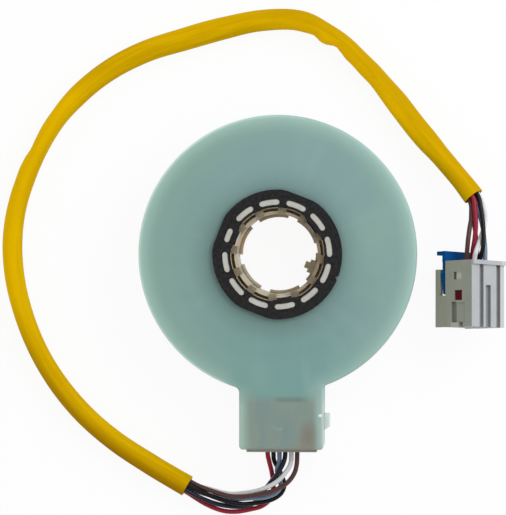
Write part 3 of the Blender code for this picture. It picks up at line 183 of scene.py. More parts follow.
# Points round a circle, and steps of each small rounding
RIM_POINTS = 160
CORNER_STEPS = 8
# Locating tab beside the tail: outline seen from the front, lower and upper end
TAB_OUTLINE = ((12.7, -46.1), (12.7, -50.7), (13.3, -50.7), (14.9, -49.7), (14.9, -46.1))
TAB_HEIGHTS = (5.0, 11.0)
TAB_ROUND = 0.18 * MM
TAB_ROUND_STEPS = 3

# Slots and windows round the bore, in degrees: the middle of one and the step to the next
PATTERN_PHASE = 8.6
PATTERN_STEP = 30.0
# Painted light and painted shade in the cuts of the plug's narrow side, the first row light, the
# others shade: both sides, lower and upper end, colour
PLUG_CUT_LIGHT_AND_SHADE = (
    (-1.9, 1.2, 4.0, 6.3, (204, 206, 196)),
    (-1.9, -1.55, 4.0, 6.3, (104, 106, 98)),
    (-2.6, -1.1, -8.2, -2.3, (122, 124, 113)),
)
# Grooves of the plug's ribbed face: both sides and upper end
PLUG_GROOVES = ((-3.7, -1.95, 8.4), (3.6, 5.35, 8.4), (-0.95, 1.2, 2.5))

# Edge rounding of the CAD nodes that stay, in millimetres
SOFT_EDGES = {
    "rear_cover": 0.15, "wire_holder": 0.15, "rotor_ring": 0.12, "rotor_spool": 0.12, "hub": 0.05,
    "plug_housing": 0.12, "position_lock": 0.12, "secondary_lock": 0.08, "hub_retainer": 0.08,
}
# Faces that meet at less than the flat angle are joined, edges above the sharp one are rounded
FLAT_ANGLE = 0.4
SHARP_ANGLE = 35.0
EDGE_STEPS = 2
# How strongly the larger faces decide the shading
NODE_SHADING = 80
SHELL_SHADING = 90
TAB_SHADING = 50

# Studio and camera: lengths in metres, colours as linear values
KEY_PLACE = (0.5, 0.37, 0.5)
KEY_SIZE = 0.7
KEY_POWER = 3.4
KEY_COLOUR = (0.96, 0.985, 1.04)
SKY = 0.67
SKY_COLOUR = (1.0, 0.998, 0.97, 1.0)
FLOOR_REACH = 3.0
FLOOR_COLOUR = (0.96, 0.96, 0.96, 1.0)
# Share of the floor's look that is plain white, the rest shows shadows
FLOOR_WHITE = 0.92
CAMERA_LENS = 223.75
CAMERA_SENSOR = 36.0
CAMERA_TARGET = Vector((-6.982, 7.549, 16.0)) * MM
CAMERA_BACK = Vector((0.05354, 0.01611, 0.99844)).normalized()
CAMERA_DISTANCE = 0.9014


# Lines


def through(points, fine=ROUTE_STEPS):
    """A smooth line through the points: Catmull-Rom, finely divided."""
    points = [Vector(p) for p in points]
    ends = [2 * points[0] - points[1], 2 * points[-1] - points[-2]]
    padded = [ends[0], *points, ends[1]]
    line = []
    for a, b, c, d in zip(padded, padded[1:], padded[2:], padded[3:]):
        for i in range(fine):
            t = i / fine
            line.append(
                b + (c - a) * t / 2
                + (2 * a - 5 * b + 4 * c - d) * t * t / 2
                + (3 * b - a - 3 * c + d) * t ** 3 / 2
            )
    return [*line, points[-1]]


def spaced(line, count):
    """The line again with this many points, evenly spaced along it."""
    reach = [0.0]
    for a, b in zip(line, line[1:]):
        reach.append(reach[-1] + (b - a).length)
    found, index = [], 0
    for i in range(count):
        goal = reach[-1] * i / (count - 1)
        while index < len(line) - 2 and reach[index + 1] < goal:
            index += 1
        share = (goal - reach[index]) / (reach[index + 1] - reach[index])
        found.append(line[index].lerp(line[index + 1], min(max(share, 0.0), 1.0)))
    return found


def eased(part):
    """A share from 0 to 1 that starts and ends softly."""
    return part * part * (3 - 2 * part)


def at_share(table, share):
    """The value of a table of (share, value) at a share, smoothly between its rows."""
    for (a, low), (b, high) in zip(table, table[1:]):
        if share <= b:
            return low + (high - low) * eased((share - a) / (b - a))
    return table[-1][1]


def sleeve_frames(count):
    """The sleeve's centre line with, at each station, the way to the loop's inside and up."""
    line = spaced(through([Vector(p) * MM for p in SLEEVE_ROUTE]), count)
    frames = []
    for i, place in enumerate(line):
        ahead = line[min(i + 1, len(line) - 1)] - line[max(i - 1, 0)]
        ahead.normalize()
        inward = Vector((ahead.y, -ahead.x, 0.0)).normalized()
        up = inward.cross(ahead)
        frames.append((place, inward, up if up.z > 0 else -up))
    return frames


def lane_place(lanes, share):
    """Distance from the sleeve's centre and angle of a wire at a share of the sleeve's length."""
    def spot(lane, other):
        if lane is None:
            return 0.0, LANE_STEP * (other or 0)
        return LANE_RADIUS, LANE_STEP * lane
    for (a, lane_a), (b, lane_b) in zip(lanes, lanes[1:]):
        if share <= b:
            break
    part = eased((share - a) / (b - a))
    radius_a, angle_a = spot(lane_a, lane_b)
    radius_b, angle_b = spot(lane_b, lane_a)
    radius = radius_a + (radius_b - radius_a) * part
    angle = angle_a + (angle_b - angle_a) * part
    return radius, math.radians(angle + LANE_START + LANE_TURN * share)


def plug_point(x, y, z):
    """A point of the plug's own axes as a place round the bore's axis."""
    return PLUG_PLACE + PLUG_TURN @ Vector((x, y, z))


def wire_side(wire):
    """Where a wire stands from left to right in the tail."""
    return FIRST_WIRE + WIRE_PITCH * WIRE_ORDER.index(wire)


def wire_in_sleeve(wire, frames):
    """The wire's points on its lane in the sleeve, drawn together where the sleeve is narrow."""
    points = []
    for i, (place, inward, up) in enumerate(frames):
        share = i / (len(frames) - 1)
        radius, angle = lane_place(WIRE_LANES[wire], share)
        room = at_share(SLEEVE_WIDTHS, share) * MM - SLEEVE_WALL - WIRE_RADIUS - WIRE_PLAY
        squeeze = min(1.0, room / LANE_RADIUS)
        aside = radius * math.cos(angle) * squeeze
        points.append(place + inward * aside + up * radius * math.sin(angle))
    return points


def wire_line(wire, frames):
    """One wire from the joint board through the sleeve to its crimp in the plug."""
    side = wire_side(wire)
    start = [Vector((side, -WIRE_START, WIRE_HEIGHT)), Vector((side, -HOLDER_END, WIRE_HEIGHT))]
    near, far = ([Vector(p) * MM for p in route] for route in WIRE_ROUTES[wire])
    inside = wire_in_sleeve(wire, frames)
    column, row = WIRE_CAVITIES[wire]
    x, z = column * CAVITY_PITCH + CAVITY_SHIFT[0], row * CAVITY_ROW + CAVITY_SHIFT[1]
    end = [plug_point(x, PLUG_LENGTH / 2, z), plug_point(x, WIRE_END_Y, z)]
    before = through([*start, *near, *inside[:2]])[:-ROUTE_STEPS]
    after = through([*inside[-2:], *far, *end])[ROUTE_STEPS:]
    return [*before[:-1], *through(inside, INSIDE_STEPS), *after[1:]]


# Objects


def new_object(name, data):
    """An object whose data, drawn round the bore's axis, is moved to its place in the frame."""
    item = bpy.data.objects.new(name, data)
    bpy.context.scene.collection.objects.link(item)
    data.transform(Matrix.Translation(BORE))
    return item


def mesh_object(name, shape, look=None):
    """Makes an object of the finished shape and frees the shape."""
    mesh = bpy.data.meshes.new(name)
    shape.to_mesh(mesh)
    shape.free()
    if look:
        mesh.materials.append(look)
    return new_object(name, mesh)


def close_rings(shape, rings):
    """Faces between neighbouring rings of points, and over both ends."""
    count = len(rings[0])
    for a, b in zip(rings, rings[1:]):
        for k in range(count):
            m = (k + 1) % count
            shape.faces.new((a[k], a[m], b[m], b[k]))
    shape.faces.new(rings[-1])
    shape.faces.new(list(reversed(rings[0])))


def wire_tube(name, line, look):
    curve = bpy.data.curves.new(name, "CURVE")
    curve.dimensions = "3D"
    curve.bevel_depth = WIRE_RADIUS
    curve.bevel_resolution = WIRE_BEVEL
    curve.use_fill_caps = True
    spline = curve.splines.new("POLY")
    spline.points.add(len(line) - 1)
    for point, place in zip(spline.points, line):
        point.co = (*place, 1.0)
    spline.use_smooth = True
    curve.materials.append(look)
    return new_object(name, curve)


def sleeve_ring(shape, station, share, depth):
    """One ring of points round the sleeve, a depth below its outer skin."""
    place, inward, up = station
    half = at_share(SLEEVE_WIDTHS, share) * MM
    tall = min(SLEEVE_RADIUS * 2 - half, SLEEVE_RADIUS + SLEEVE_RISE)
    lift = max(0.0, tall - SLEEVE_RADIUS)
    fold = at_share(SLEEVE_FOLD, share) * MM
    bend = at_share(SLEEVE_BEND, share) * MM
    ring = []
    for k in range(SLEEVE_AROUND):
        angle = math.tau * k / SLEEVE_AROUND
        extra = fold if math.cos(angle) > 0 else bend
        aside = (half - depth + extra) * math.cos(angle)
        above = (tall - depth) * math.sin(angle) + lift
        ring.append(shape.verts.new(place + inward * aside + up * above))
    return ring


def sleeve_skin(shape, uv, frames, depth):
    """One skin of the sleeve, with the shares round it and along it as UV."""
    count = len(frames)
    rings = [sleeve_ring(shape, f, i / (count - 1), depth) for i, f in enumerate(frames)]
    for i, (a, b) in enumerate(zip(rings, rings[1:])):
        for k in range(SLEEVE_AROUND):
            m = (k + 1) % SLEEVE_AROUND
            face = shape.faces.new((a[k], a[m], b[m], b[k]))
            corners = ((k, i), (k + 1, i), (k + 1, i + 1), (k, i + 1))
            for loop, (u, v) in zip(face.loops, corners):
                loop[uv].uv = (u / SLEEVE_AROUND, v / count)
    return rings


def sleeve_mesh(name, frames, look):
    """A soft hollow tube along the frames, narrower and wider as in the photo, with square ends."""
    shape = bmesh.new()
    uv = shape.loops.layers.uv.new("skin")
    outside = sleeve_skin(shape, uv, frames, 0.0)
    inside = sleeve_skin(shape, uv, frames, SLEEVE_WALL)
    for end in (0, -1):
        outer, inner = outside[end], inside[end]
        for k in range(SLEEVE_AROUND):
            m = (k + 1) % SLEEVE_AROUND
            shape.faces.new((outer[k], outer[m], inner[m], inner[k]))
    bmesh.ops.recalc_face_normals(shape, faces=shape.faces)
    item = mesh_object(name, shape, look)
    item.data.shade_smooth()
    item.data.set_sharp_from_angle(angle=math.radians(SLEEVE_SHARP_ANGLE))
    return item


# Looks


def srgb(*colour):
    """A colour given as it shows on a screen, 0 to 255, as the linear values of a shader."""
    values = [c / 255 for c in colour]
    return tuple(v / 12.92 if v <= 0.04045 else ((v + 0.055) / 1.055) ** 2.4 for v in values)


class Look:
    """A material built from nodes: a Principled shader with helpers for what feeds it."""

    def __init__(self, name, **fixed):
        self.made = bpy.data.materials.new(name)
        self.made.use_nodes = True
        self.tree = self.made.node_tree
        self.shader = self.tree.nodes["Principled BSDF"]
        self.coords = self.add("ShaderNodeTexCoord").outputs["Object"]
        for socket, value in fixed.items():
            self.shader.inputs[socket.replace("_", " ")].default_value = value

    def add(self, kind, **settings):
        node = self.tree.nodes.new(kind)
        for name, value in settings.items():
            setattr(node, name, value)
        return node

    def link(self, source, target):
        self.tree.links.new(source, target)

    def feed(self, target, value):
        if hasattr(value, "is_output"):
            self.link(value, target)
        else:
            target.default_value = value

    def maths(self, operation, a, b=0.0, c=0.0):
        node = self.add("ShaderNodeMath", operation=operation)
        for target, value in zip(node.inputs, (a, b, c)):
            self.feed(target, value)
        return node.outputs[0]

    def noise(self, scale, detail=3.0, roughness=0.55, stretch=(1, 1, 1), coords=None):
        """Noise from 0 to 1 at a scale per metre, or per unit of the coordinates given."""
        place = self.add("ShaderNodeMapping")
        self.link(coords or self.coords, place.inputs["Vector"])
        place.inputs["Scale"].default_value = stretch
        node = self.add("ShaderNodeTexNoise")
        self.link(place.outputs[0], node.inputs["Vector"])
        node.inputs["Scale"].default_value = scale
        node.inputs["Detail"].default_value = detail
        node.inputs["Roughness"].default_value = roughness
        return node.outputs["Fac"]

    def ramp(self, value, low, high, first=0.0, last=1.0):
        """The value's stretch from low to high, mapped to first to last and held beyond."""
        node = self.add("ShaderNodeMapRange")
        for target, number in zip(node.inputs, (value, low, high, first, last)):
            self.feed(target, number)
        return node.outputs[0]

    def mix(self, share, a, b):
        node = self.add("ShaderNodeMix", data_type="RGBA")
        self.feed(node.inputs[0], share)
        for target, value in ((node.inputs[6], a), (node.inputs[7], b)):
            if isinstance(value, tuple) and len(value) == 3:
                value = (*value, 1.0)
            self.feed(target, value)
        return node.outputs[2]

    def bump(self, height, strength, distance, under=None):
        node = self.add("ShaderNodeBump")
        node.inputs["Strength"].default_value = strength
        node.inputs["Distance"].default_value = distance
        self.link(height, node.inputs["Height"])
        if under is not None:
            self.link(under, node.inputs["Normal"])
        return node.outputs["Normal"]

    def paint(self, colour, rough, normal):
        """The finished material, with these on its shader."""
        self.feed(self.shader.inputs["Base Color"], colour)
        self.feed(self.shader.inputs["Roughness"], rough)
        self.link(normal, self.shader.inputs["Normal"])
        return self.made

    def vector(self, *parts):
        node = self.add("ShaderNodeCombineXYZ")
        for target, part in zip(node.inputs, parts):
            self.link(part, target)
        return node.outputs[0]

    def measured_from(self, origin):
        """A surface point as a vector from this origin."""
        shift = self.add("ShaderNodeVectorMath", operation="SUBTRACT")
        self.link(self.coords, shift.inputs[0])
        shift.inputs[1].default_value = origin
        return shift.outputs[0]

    def place(self):
        """X, Y and Z of a surface point, measured from the bore's axis, in millimetres."""
        scale = self.add("ShaderNodeVectorMath", operation="SCALE")
        self.link(self.measured_from(BORE), scale.inputs[0])
        scale.inputs["Scale"].default_value = 1 / MM
        parts = self.add("ShaderNodeSeparateXYZ")
        self.link(scale.outputs[0], parts.inputs[0])
        return parts.outputs

    def plug_place(self):
        """X, Y and Z of a surface point in the plug's own axes, in millimetres."""
        parts = []
        shift = self.measured_from(BORE + PLUG_PLACE)
        for axis in PLUG_TURN.col:
            along = self.add("ShaderNodeVectorMath", operation="DOT_PRODUCT")
            self.link(shift, along.inputs[0])
            along.inputs[1].default_value = axis / MM
            parts.append(along.outputs["Value"])
        return parts

    def within(self, value, low, high, soft):
        """1 between low and high, falling to 0 over the soft width outside of them."""
        rise = self.ramp(value, low - soft, low)
        fall = self.ramp(value, high, high + soft, 1.0, 0.0)
        return self.maths("MULTIPLY", rise, fall)

    def distance(self, place, centre, size=(1.0, 1.0)):
        """How far a place in X and Y is from a centre, in shares of a size each way."""
        parts = []
        for value, middle, reach in zip(place, centre, size):
            part = self.maths("DIVIDE", self.maths("SUBTRACT", value, middle), reach)
            parts.append(self.maths("MULTIPLY", part, part))
        return self.maths("SQRT", self.maths("ADD", *parts))

    def spot(self, place, centre, size):
        """1 in the middle of an oval, falling softly to 0 at its edge."""
        return self.ramp(self.distance(place, centre, size), 0.15, 1.0, 1.0, 0.0)

    def slope(self, x, y, across, upwards):
        """X and Y times these weights, added: a value that rises in one direction."""
        aside, above = self.maths("MULTIPLY", x, across), self.maths("MULTIPLY", y, upwards)
        return self.maths("ADD", aside, above)

    def both(self, *masks):
        """The product of masks and shares: 1 only where each of them is 1."""
        whole = masks[0]
        for mask in masks[1:]:
            whole = self.maths("MULTIPLY", whole, mask)
        return whole


def plug_plastic(name):
    """The plug's grey: warmer and painted darker on its narrow side, painted shade where it is cut
    in, and a band of painted light on its ribbed face.
    """
    look = Look(name, Specular_IOR_Level=0.35)
    x, y, z = look.plug_place()
    cloud = look.ramp(look.noise(150.0, 4.0), 0.35, 0.65)
    colour = look.mix(cloud, srgb(176, 178, 180), srgb(170, 172, 174))
    colour = plug_narrow_side(look, x, y, z, cloud, colour)
    # Painted light: a lighter band on the ribbed face, where the light falls on it.
    painted_light = look.both(look.ramp(x, 5.3, 5.45), look.ramp(z, 4.9, 5.0))
    colour = look.mix(painted_light, colour, srgb(192, 193, 194))
    # Painted shade in the grooves of the ribbed face, darker below its top.
    depth = look.ramp(z, 4.2, 5.03, 1.0, 0.0)
    for left, right, top in PLUG_GROOVES:
        groove = look.both(look.within(x, left, right, 0.05), look.ramp(z, 3.9, 4.0),
                           look.ramp(y, top, top + 0.2, 1.0, 0.0),
                           look.ramp(depth, 0.0, 0.2, 0.0, 0.95))
        colour = look.mix(groove, colour, srgb(140, 142, 143))
    gloss = look.ramp(look.noise(900.0), 0.3, 0.7, 0.42, 0.58)
    return look.paint(colour, gloss, look.bump(look.noise(4000.0, 2.0), 0.5, 0.02 * MM))


def plug_narrow_side(look, x, y, z, cloud, colour):
    """The plug's olive narrow side, painted darker as shade, the painted light and shade in its cuts,
    and its pale foot.
    """
    side = look.both(look.ramp(x, -5.5, -5.3, 1.0, 0.0), look.ramp(z, 4.85, 4.98, 1.0, 0.0))
    # Olive, and painted darker as shade: this side faces away from the light.
    olive = look.mix(cloud, srgb(154, 156, 146), srgb(147, 149, 139))
    colour = look.mix(side, colour, look.mix(look.ramp(z, -9.0, 4.0), srgb(152, 154, 138), olive))
    sunk = look.ramp(x, -6.95, -6.9)
    # Painted light and painted shade in the cuts of the narrow side.
    for left, right, low, high, shade in PLUG_CUT_LIGHT_AND_SHADE:
        cut = look.both(look.within(y, low, high, 0.12), look.within(z, left, right, 0.12),
                        side, sunk)
        colour = look.mix(cut, colour, srgb(*shade))
    foot = look.both(look.ramp(y, -8.3, -8.2, 1.0, 0.0), look.within(z, -3.0, -0.1, 0.1), side)
    return look.mix(foot, colour, srgb(176, 176, 168))


def plastic(name, colour, other=None, mottle=120.0, grain=4000.0, depth=0.02, rough=(0.4, 0.55),
            **fixed):
    """Moulded plastic: slightly uneven colour, a fine grain and an uneven gloss."""
    look = Look(name, **fixed)
    other = other or tuple(c * 0.85 for c in colour)
    cloud = look.ramp(look.noise(mottle, 4.0), 0.35, 0.65)
    gloss = look.ramp(look.noise(mottle * 6), 0.3, 0.7, *rough)
    return look.paint(look.mix(cloud, colour, other), gloss,
                      look.bump(look.noise(grain, 2.0), 0.5, depth * MM))


def mint(name):
    """Milky mint nylon: the disc with painted light on its rim and painted shade round the ring, and
    the tail with the insert below it.
    """
    look = Look(name, Subsurface_Weight=0.5, Subsurface_Scale=3.0 * MM,
                Subsurface_Radius=(0.8, 1.0, 0.95))
    x, y, z = look.place()
    radius = look.distance((x, y), (0.0, 0.0))
    colour = mint_disc(look, x, y, radius)
    colour = mint_shade(look, x, y, radius, colour)
    colour = mint_rim(look, x, y, z, radius, colour)
    colour = mint_tail_sides(look, x, y, colour)
    colour = mint_tail_roof(look, x, y, z, colour)
    gloss = look.ramp(look.noise(500.0), 0.3, 0.7, 0.42, 0.52)
    return look.paint(colour, gloss, look.bump(look.noise(3500.0, 2.0), 0.4, 0.015 * MM))


def mint_disc(look, x, y, radius):
    """The disc's own colour: soft patches, faint rays, and bluer with fine streaks at the tail."""
    patch = look.both(look.ramp(look.noise(45.0, 3.0), 0.36, 0.58), look.ramp(radius, 40.0, 30.0))
    colour = look.mix(patch, srgb(137, 171, 163), srgb(133, 166, 165))
    way_out = look.vector(look.maths("DIVIDE", x, radius), look.maths("DIVIDE", y, radius))
    rays = look.noise(4.5, 1.5, roughness=0.5, coords=way_out)
    ray = look.both(look.ramp(rays, 0.5, 0.66, 0.0, 0.4), look.within(radius, 23.0, 33.0, 5.0))
    colour = look.mix(ray, colour, srgb(147, 176, 170))
    low = look.both(look.ramp(y, -14.0, -34.0), look.within(x, -16.0, 14.0, 12.0))
    colour = look.mix(low, colour, srgb(121, 163, 159))
    fine = look.ramp(look.noise(260.0, 2.0, stretch=(1.0, 0.1, 1.0)), 0.45, 0.65)
    fine = look.both(fine, low, look.ramp(y, -40.0, -36.0), 0.4)
    return look.mix(fine, colour, srgb(136, 172, 165))


def mint_shade(look, x, y, radius, colour):
    """The darker zone round the black ring, partly painted shadow, wider at the lower left, and the
    greener left side.
    """
    # Darker round the ring: partly the dark rotor under the milky plastic, partly painted shadow of
    # the raised ring.
    inner = look.both(look.maths("POWER", look.ramp(radius, 19.0, 26.5, 1.0, 0.0), 1.6), 0.45)
    colour = look.mix(inner, colour, srgb(94, 124, 120))
    # Painted shadow of the ring, reaching further towards the lower left, away from the light.
    lower_left_ring_shadow = look.both(look.ramp(radius, 19.5, 26.5, 1.0, 0.0),
                     look.ramp(look.slope(x, y, -0.6, -0.8), -8.0, 18.0), 0.34)
    colour = look.mix(lower_left_ring_shadow, colour, srgb(90, 120, 116))
    # Painted shade over the lower left of the disc, away from the light.
    lower_left_shade = look.both(look.ramp(look.slope(x, y, -0.5, -0.87), -16.0, -2.0),
                     look.within(radius, 20.5, 29.0, 4.0), 0.18)
    colour = look.mix(lower_left_shade, colour, srgb(106, 138, 136))
    leaf = look.both(look.ramp(radius, 24.0, 36.0), look.ramp(x, 6.0, -24.0), 0.75)
    return look.mix(leaf, colour, srgb(133, 168, 157))


def mint_rim(look, x, y, z, radius, colour):
    """Painted light on the rim, weaker towards the tail and left out where the tail starts."""
    neck = look.both(look.within(x, -11.0, 7.0, 5.0), look.ramp(y, -34.0, -24.0, 1.0, 0.0))
    keep = look.maths("SUBTRACT", 1.0, neck)
    # Painted light: a pale band that stands in for light coming through the thin milky rim.
    rim = look.both(look.maths("POWER", look.ramp(radius, 34.0, 39.6), 1.8),
                    look.ramp(z, 8.0, 15.5, 0.35, 1.0), look.ramp(y, -42.0, -12.0, 0.42, 1.0), keep)
    colour = look.mix(rim, colour, srgb(166, 198, 188))
    # The rounded outer edge: painted light on the left, which faces away from the light, painted
    # shade on the right.
    edge = look.both(look.ramp(radius, 39.2, 39.9), look.ramp(y, -40.5, -36.0),
                     look.ramp(z, 15.0, 15.5), keep)
    edge_light_and_shade = look.mix(look.ramp(x, -25.0, 10.0), srgb(214, 238, 226), srgb(152, 176, 172))
    return look.mix(edge, colour, edge_light_and_shade)


def mint_tail_sides(look, x, y, colour):
    """The strips beside the tail's roof window, and the pale locating tab."""
    below = look.ramp(y, -44.0, -37.0, 1.0, 0.0)
    left = look.mix(look.ramp(x, -11.0, -9.0), srgb(176, 196, 186), srgb(146, 172, 160))
    colour = look.mix(look.both(look.ramp(x, -8.6, -6.6, 1.0, 0.0), below), colour, left)
    right = look.mix(look.ramp(x, 10.8, 13.0), srgb(148, 175, 168), srgb(170, 188, 184))
    colour = look.mix(look.both(look.ramp(x, 8.6, 10.6), below), colour, right)
    tab = look.both(look.ramp(x, 13.0, 13.6), look.ramp(y, -44.0, -42.0, 1.0, 0.0))
    return look.mix(tab, colour, srgb(210, 218, 214))


def mint_tail_roof(look, x, y, z, colour):
    """The grey insert that shows through the roof, the marks on it, a painted shade line and a
    painted highlight.
    """
    top = look.maths("GREATER_THAN", z, 15.0)
    streak = look.ramp(look.noise(190.0, 2.0, stretch=(1.0, 0.22, 1.0)), 0.34, 0.66)
    insert = look.mix(streak, srgb(126, 148, 145), srgb(141, 155, 143))
    window = look.both(look.within(x, -7.6, 10.1, 1.3), look.ramp(y, -42.6, -39.8, 1.0, 0.0), top)
    colour = look.mix(window, colour, insert)
    smudge = look.spot((x, y), (8.8, -52.3), (3.4, 5.6))
    corner = look.spot((x, y), (8.5, -56.5), (6.5, 3.2))
    # Painted shade: a soft dark line along the top edge of the insert seen through the roof.
    line = look.both(look.within(x, 1.0, 6.5, 3.0), look.within(y, -41.9, -41.4, 0.8))
    foot = look.both(look.within(x, -8.4, 10.4, 0.8), look.ramp(y, -56.2, -55.0, 1.0, 0.0))
    arc = look.both(look.within(look.distance((x, y), (0.44, -48.1)), 1.95, 2.2, 0.45),
                    look.ramp(y, -49.6, -48.8, 1.0, 0.0), look.ramp(x, 1.2, 2.2, 1.0, 0.0))
    # Painted highlight: a small glint near the locating tab.
    painted_glint = look.spot((x, y), (12.3, -46.2), (0.75, 0.6))
    marks = (
        (smudge, 0.85, srgb(132, 123, 110)), (corner, 0.45, srgb(150, 134, 108)),
        (line, 0.4, srgb(92, 104, 100)), (foot, 0.55, srgb(132, 120, 98)),
        (arc, 0.35, srgb(156, 174, 162)), (painted_glint, 1.0, srgb(240, 252, 248)),
    )
    for mark, share, tint in marks:
        colour = look.mix(look.both(mark, top, share), colour, tint)
    return colour


def vinyl(name):
    """Soft yellow vinyl: faint streaks along it, worn patches, and its sides in painted light and
    painted shade.
    """
    look = Look(name, Specular_IOR_Level=0.01)
    skin = look.add("ShaderNodeSeparateXYZ")
    look.link(look.add("ShaderNodeTexCoord").outputs["UV"], skin.inputs[0])
    turn = look.maths("MULTIPLY", skin.outputs[0], math.tau)
    along = skin.outputs[1]
    inward = look.maths("COSINE", turn)
    tube = look.vector(inward, look.maths("SINE", turn), along)
    lines = look.noise(1.0, 4.0, stretch=(2.6, 2.6, 16.0), coords=tube)
    colour = look.mix(look.ramp(lines, 0.38, 0.62), srgb(218, 174, 0), srgb(206, 161, 0))
    # Painted shade outside near the tail, painted light outside at the left, painted light inside and
    # painted shade outside towards the plug
    tail_outer_shade = look.both(look.ramp(inward, 0.6, -0.85), look.ramp(along, 0.08, 0.29, 1.0, 0.0))
    left_outer_light = look.both(look.ramp(inward, 0.9, -0.8), look.within(along, 0.27, 0.47, 0.06))
    plug_inner_light = look.both(look.ramp(inward, 0.0, 0.65), look.within(along, 0.77, 0.88, 0.08))
    plug_outer_shade = look.both(look.ramp(inward, -0.15, -0.6), look.within(along, 0.73, 1.0, 0.05))
    worn = look.ramp(look.noise(260.0, 4.0), 0.62, 0.8)
    zones = (
        (tail_outer_shade, 0.8, srgb(150, 104, 2)), (left_outer_light, 0.85, srgb(248, 197, 0)),
        (plug_inner_light, 1.0, srgb(255, 197, 0)), (plug_outer_shade, 0.75, srgb(190, 148, 0)),
        (worn, 0.35, srgb(186, 146, 20)),
    )
    for zone, share, tint in zones:
        colour = look.mix(look.both(zone, share), colour, tint)
    gloss = look.ramp(look.noise(700.0), 0.3, 0.7, 0.36, 0.52)
    normal = look.bump(lines, 0.35, 0.12 * MM, look.bump(look.noise(2500.0, 2.0), 0.4, 0.02 * MM))
    return look.paint(colour, gloss, normal)


def amber(name):
    """Clear brown resin: cream ledges, pockets in painted shade and painted light, and a painted
    highlight on its rim, in the windows' pattern.
    """
    look = Look(name, Subsurface_Weight=0.6, Subsurface_Scale=1.5 * MM,
                Subsurface_Radius=(1.0, 0.75, 0.4), Specular_IOR_Level=0.6)
    x, y, z = look.place()
    radius = look.distance((x, y), (0.0, 0.0))
    turn = look.maths("MULTIPLY", look.maths("ARCTAN2", y, x), 180 / math.pi)
    cloud = look.ramp(look.noise(900.0, 4.0), 0.3, 0.7)
    colour = look.mix(cloud, srgb(122, 110, 88), srgb(148, 135, 110))
    around = look.vector(turn, look.maths("MULTIPLY", radius, 3.0))
    flow = look.ramp(look.noise(0.45, 3.0, coords=around), 0.5, 0.66)
    colour = look.mix(look.both(flow, 0.6), colour, srgb(88, 76, 54))
    for zone, tint in amber_zones(look, x, z, radius, turn, cloud):
        colour = look.mix(zone, colour, tint)
    gloss = look.ramp(look.noise(1500.0), 0.3, 0.7, 0.28, 0.5)
    return look.paint(colour, gloss, look.bump(look.noise(1200.0, 3.0), 0.4, 0.03 * MM))


def amber_zones(look, x, z, radius, turn, cloud):
    """Masks and colours of the hub's zones, each painted over the ones before it."""
    half = PATTERN_STEP / 2
    step = look.maths("WRAP", look.maths("SUBTRACT", turn, PATTERN_PHASE), half, -half)
    opening = look.ramp(look.maths("ABSOLUTE", step), 9.3, 10.1, 1.0, 0.0)
    ledge = look.both(opening, look.within(radius, 11.5, 12.35, 0.1))
    # Painted shade on the right side, where the inner walls face away from the light.
    right_side_shade = look.both(look.ramp(x, 2.0, 11.0, 0.0, 0.5), look.ramp(radius, 11.3, 11.6))
    # Painted shade in the mouths of the pockets.
    pocket_shade = look.both(opening, look.within(radius, 12.42, 13.25, 0.06))
    # Painted light lower down in the pockets, against the shade there.
    deep_pocket_light = look.both(opening, look.within(radius, 12.3, 13.4, 0.05),
                     look.ramp(z, 15.4, 15.6, 1.0, 0.0))
    # Painted light in the pockets that two lobes of the ring shade.
    lobes = look.maths("ADD", look.within(turn, 150.0, 168.0, 3.0),
                       look.within(turn, -90.0, -72.0, 3.0))
    lobe_pocket_light = look.both(opening, look.within(radius, 12.2, 13.2, 0.1), lobes, 0.85)
    # Painted shade under the ring's third lobe.
    dark = look.both(look.within(turn, 28.0, 50.0, 7.0), look.ramp(radius, 11.2, 11.5), 0.6)
    # The tabs painted lighter: painted light against the shade low in the bore.
    tab = look.ramp(radius, 11.3, 11.5, 1.0, 0.0)
    # Painted highlight along the hub's upper rim.
    edge = look.both(look.ramp(radius, 13.3, 13.36), look.ramp(z, 15.5, 15.9), opening)
    warm = look.both(look.within(turn, 150.0, 166.0, 10.0),
                     look.ramp(radius, 11.4, 12.0, 1.0, 0.0), 0.6)
    return (
        (ledge, srgb(196, 186, 162)), (right_side_shade, srgb(122, 102, 70)), (pocket_shade, srgb(112, 88, 44)),
        (deep_pocket_light, srgb(206, 174, 112)), (lobe_pocket_light, srgb(222, 216, 204)), (dark, srgb(88, 78, 62)),
        (tab, look.mix(cloud, srgb(166, 152, 124), srgb(188, 174, 144))),
        (edge, srgb(206, 200, 182)), (warm, srgb(200, 158, 104)),
    )


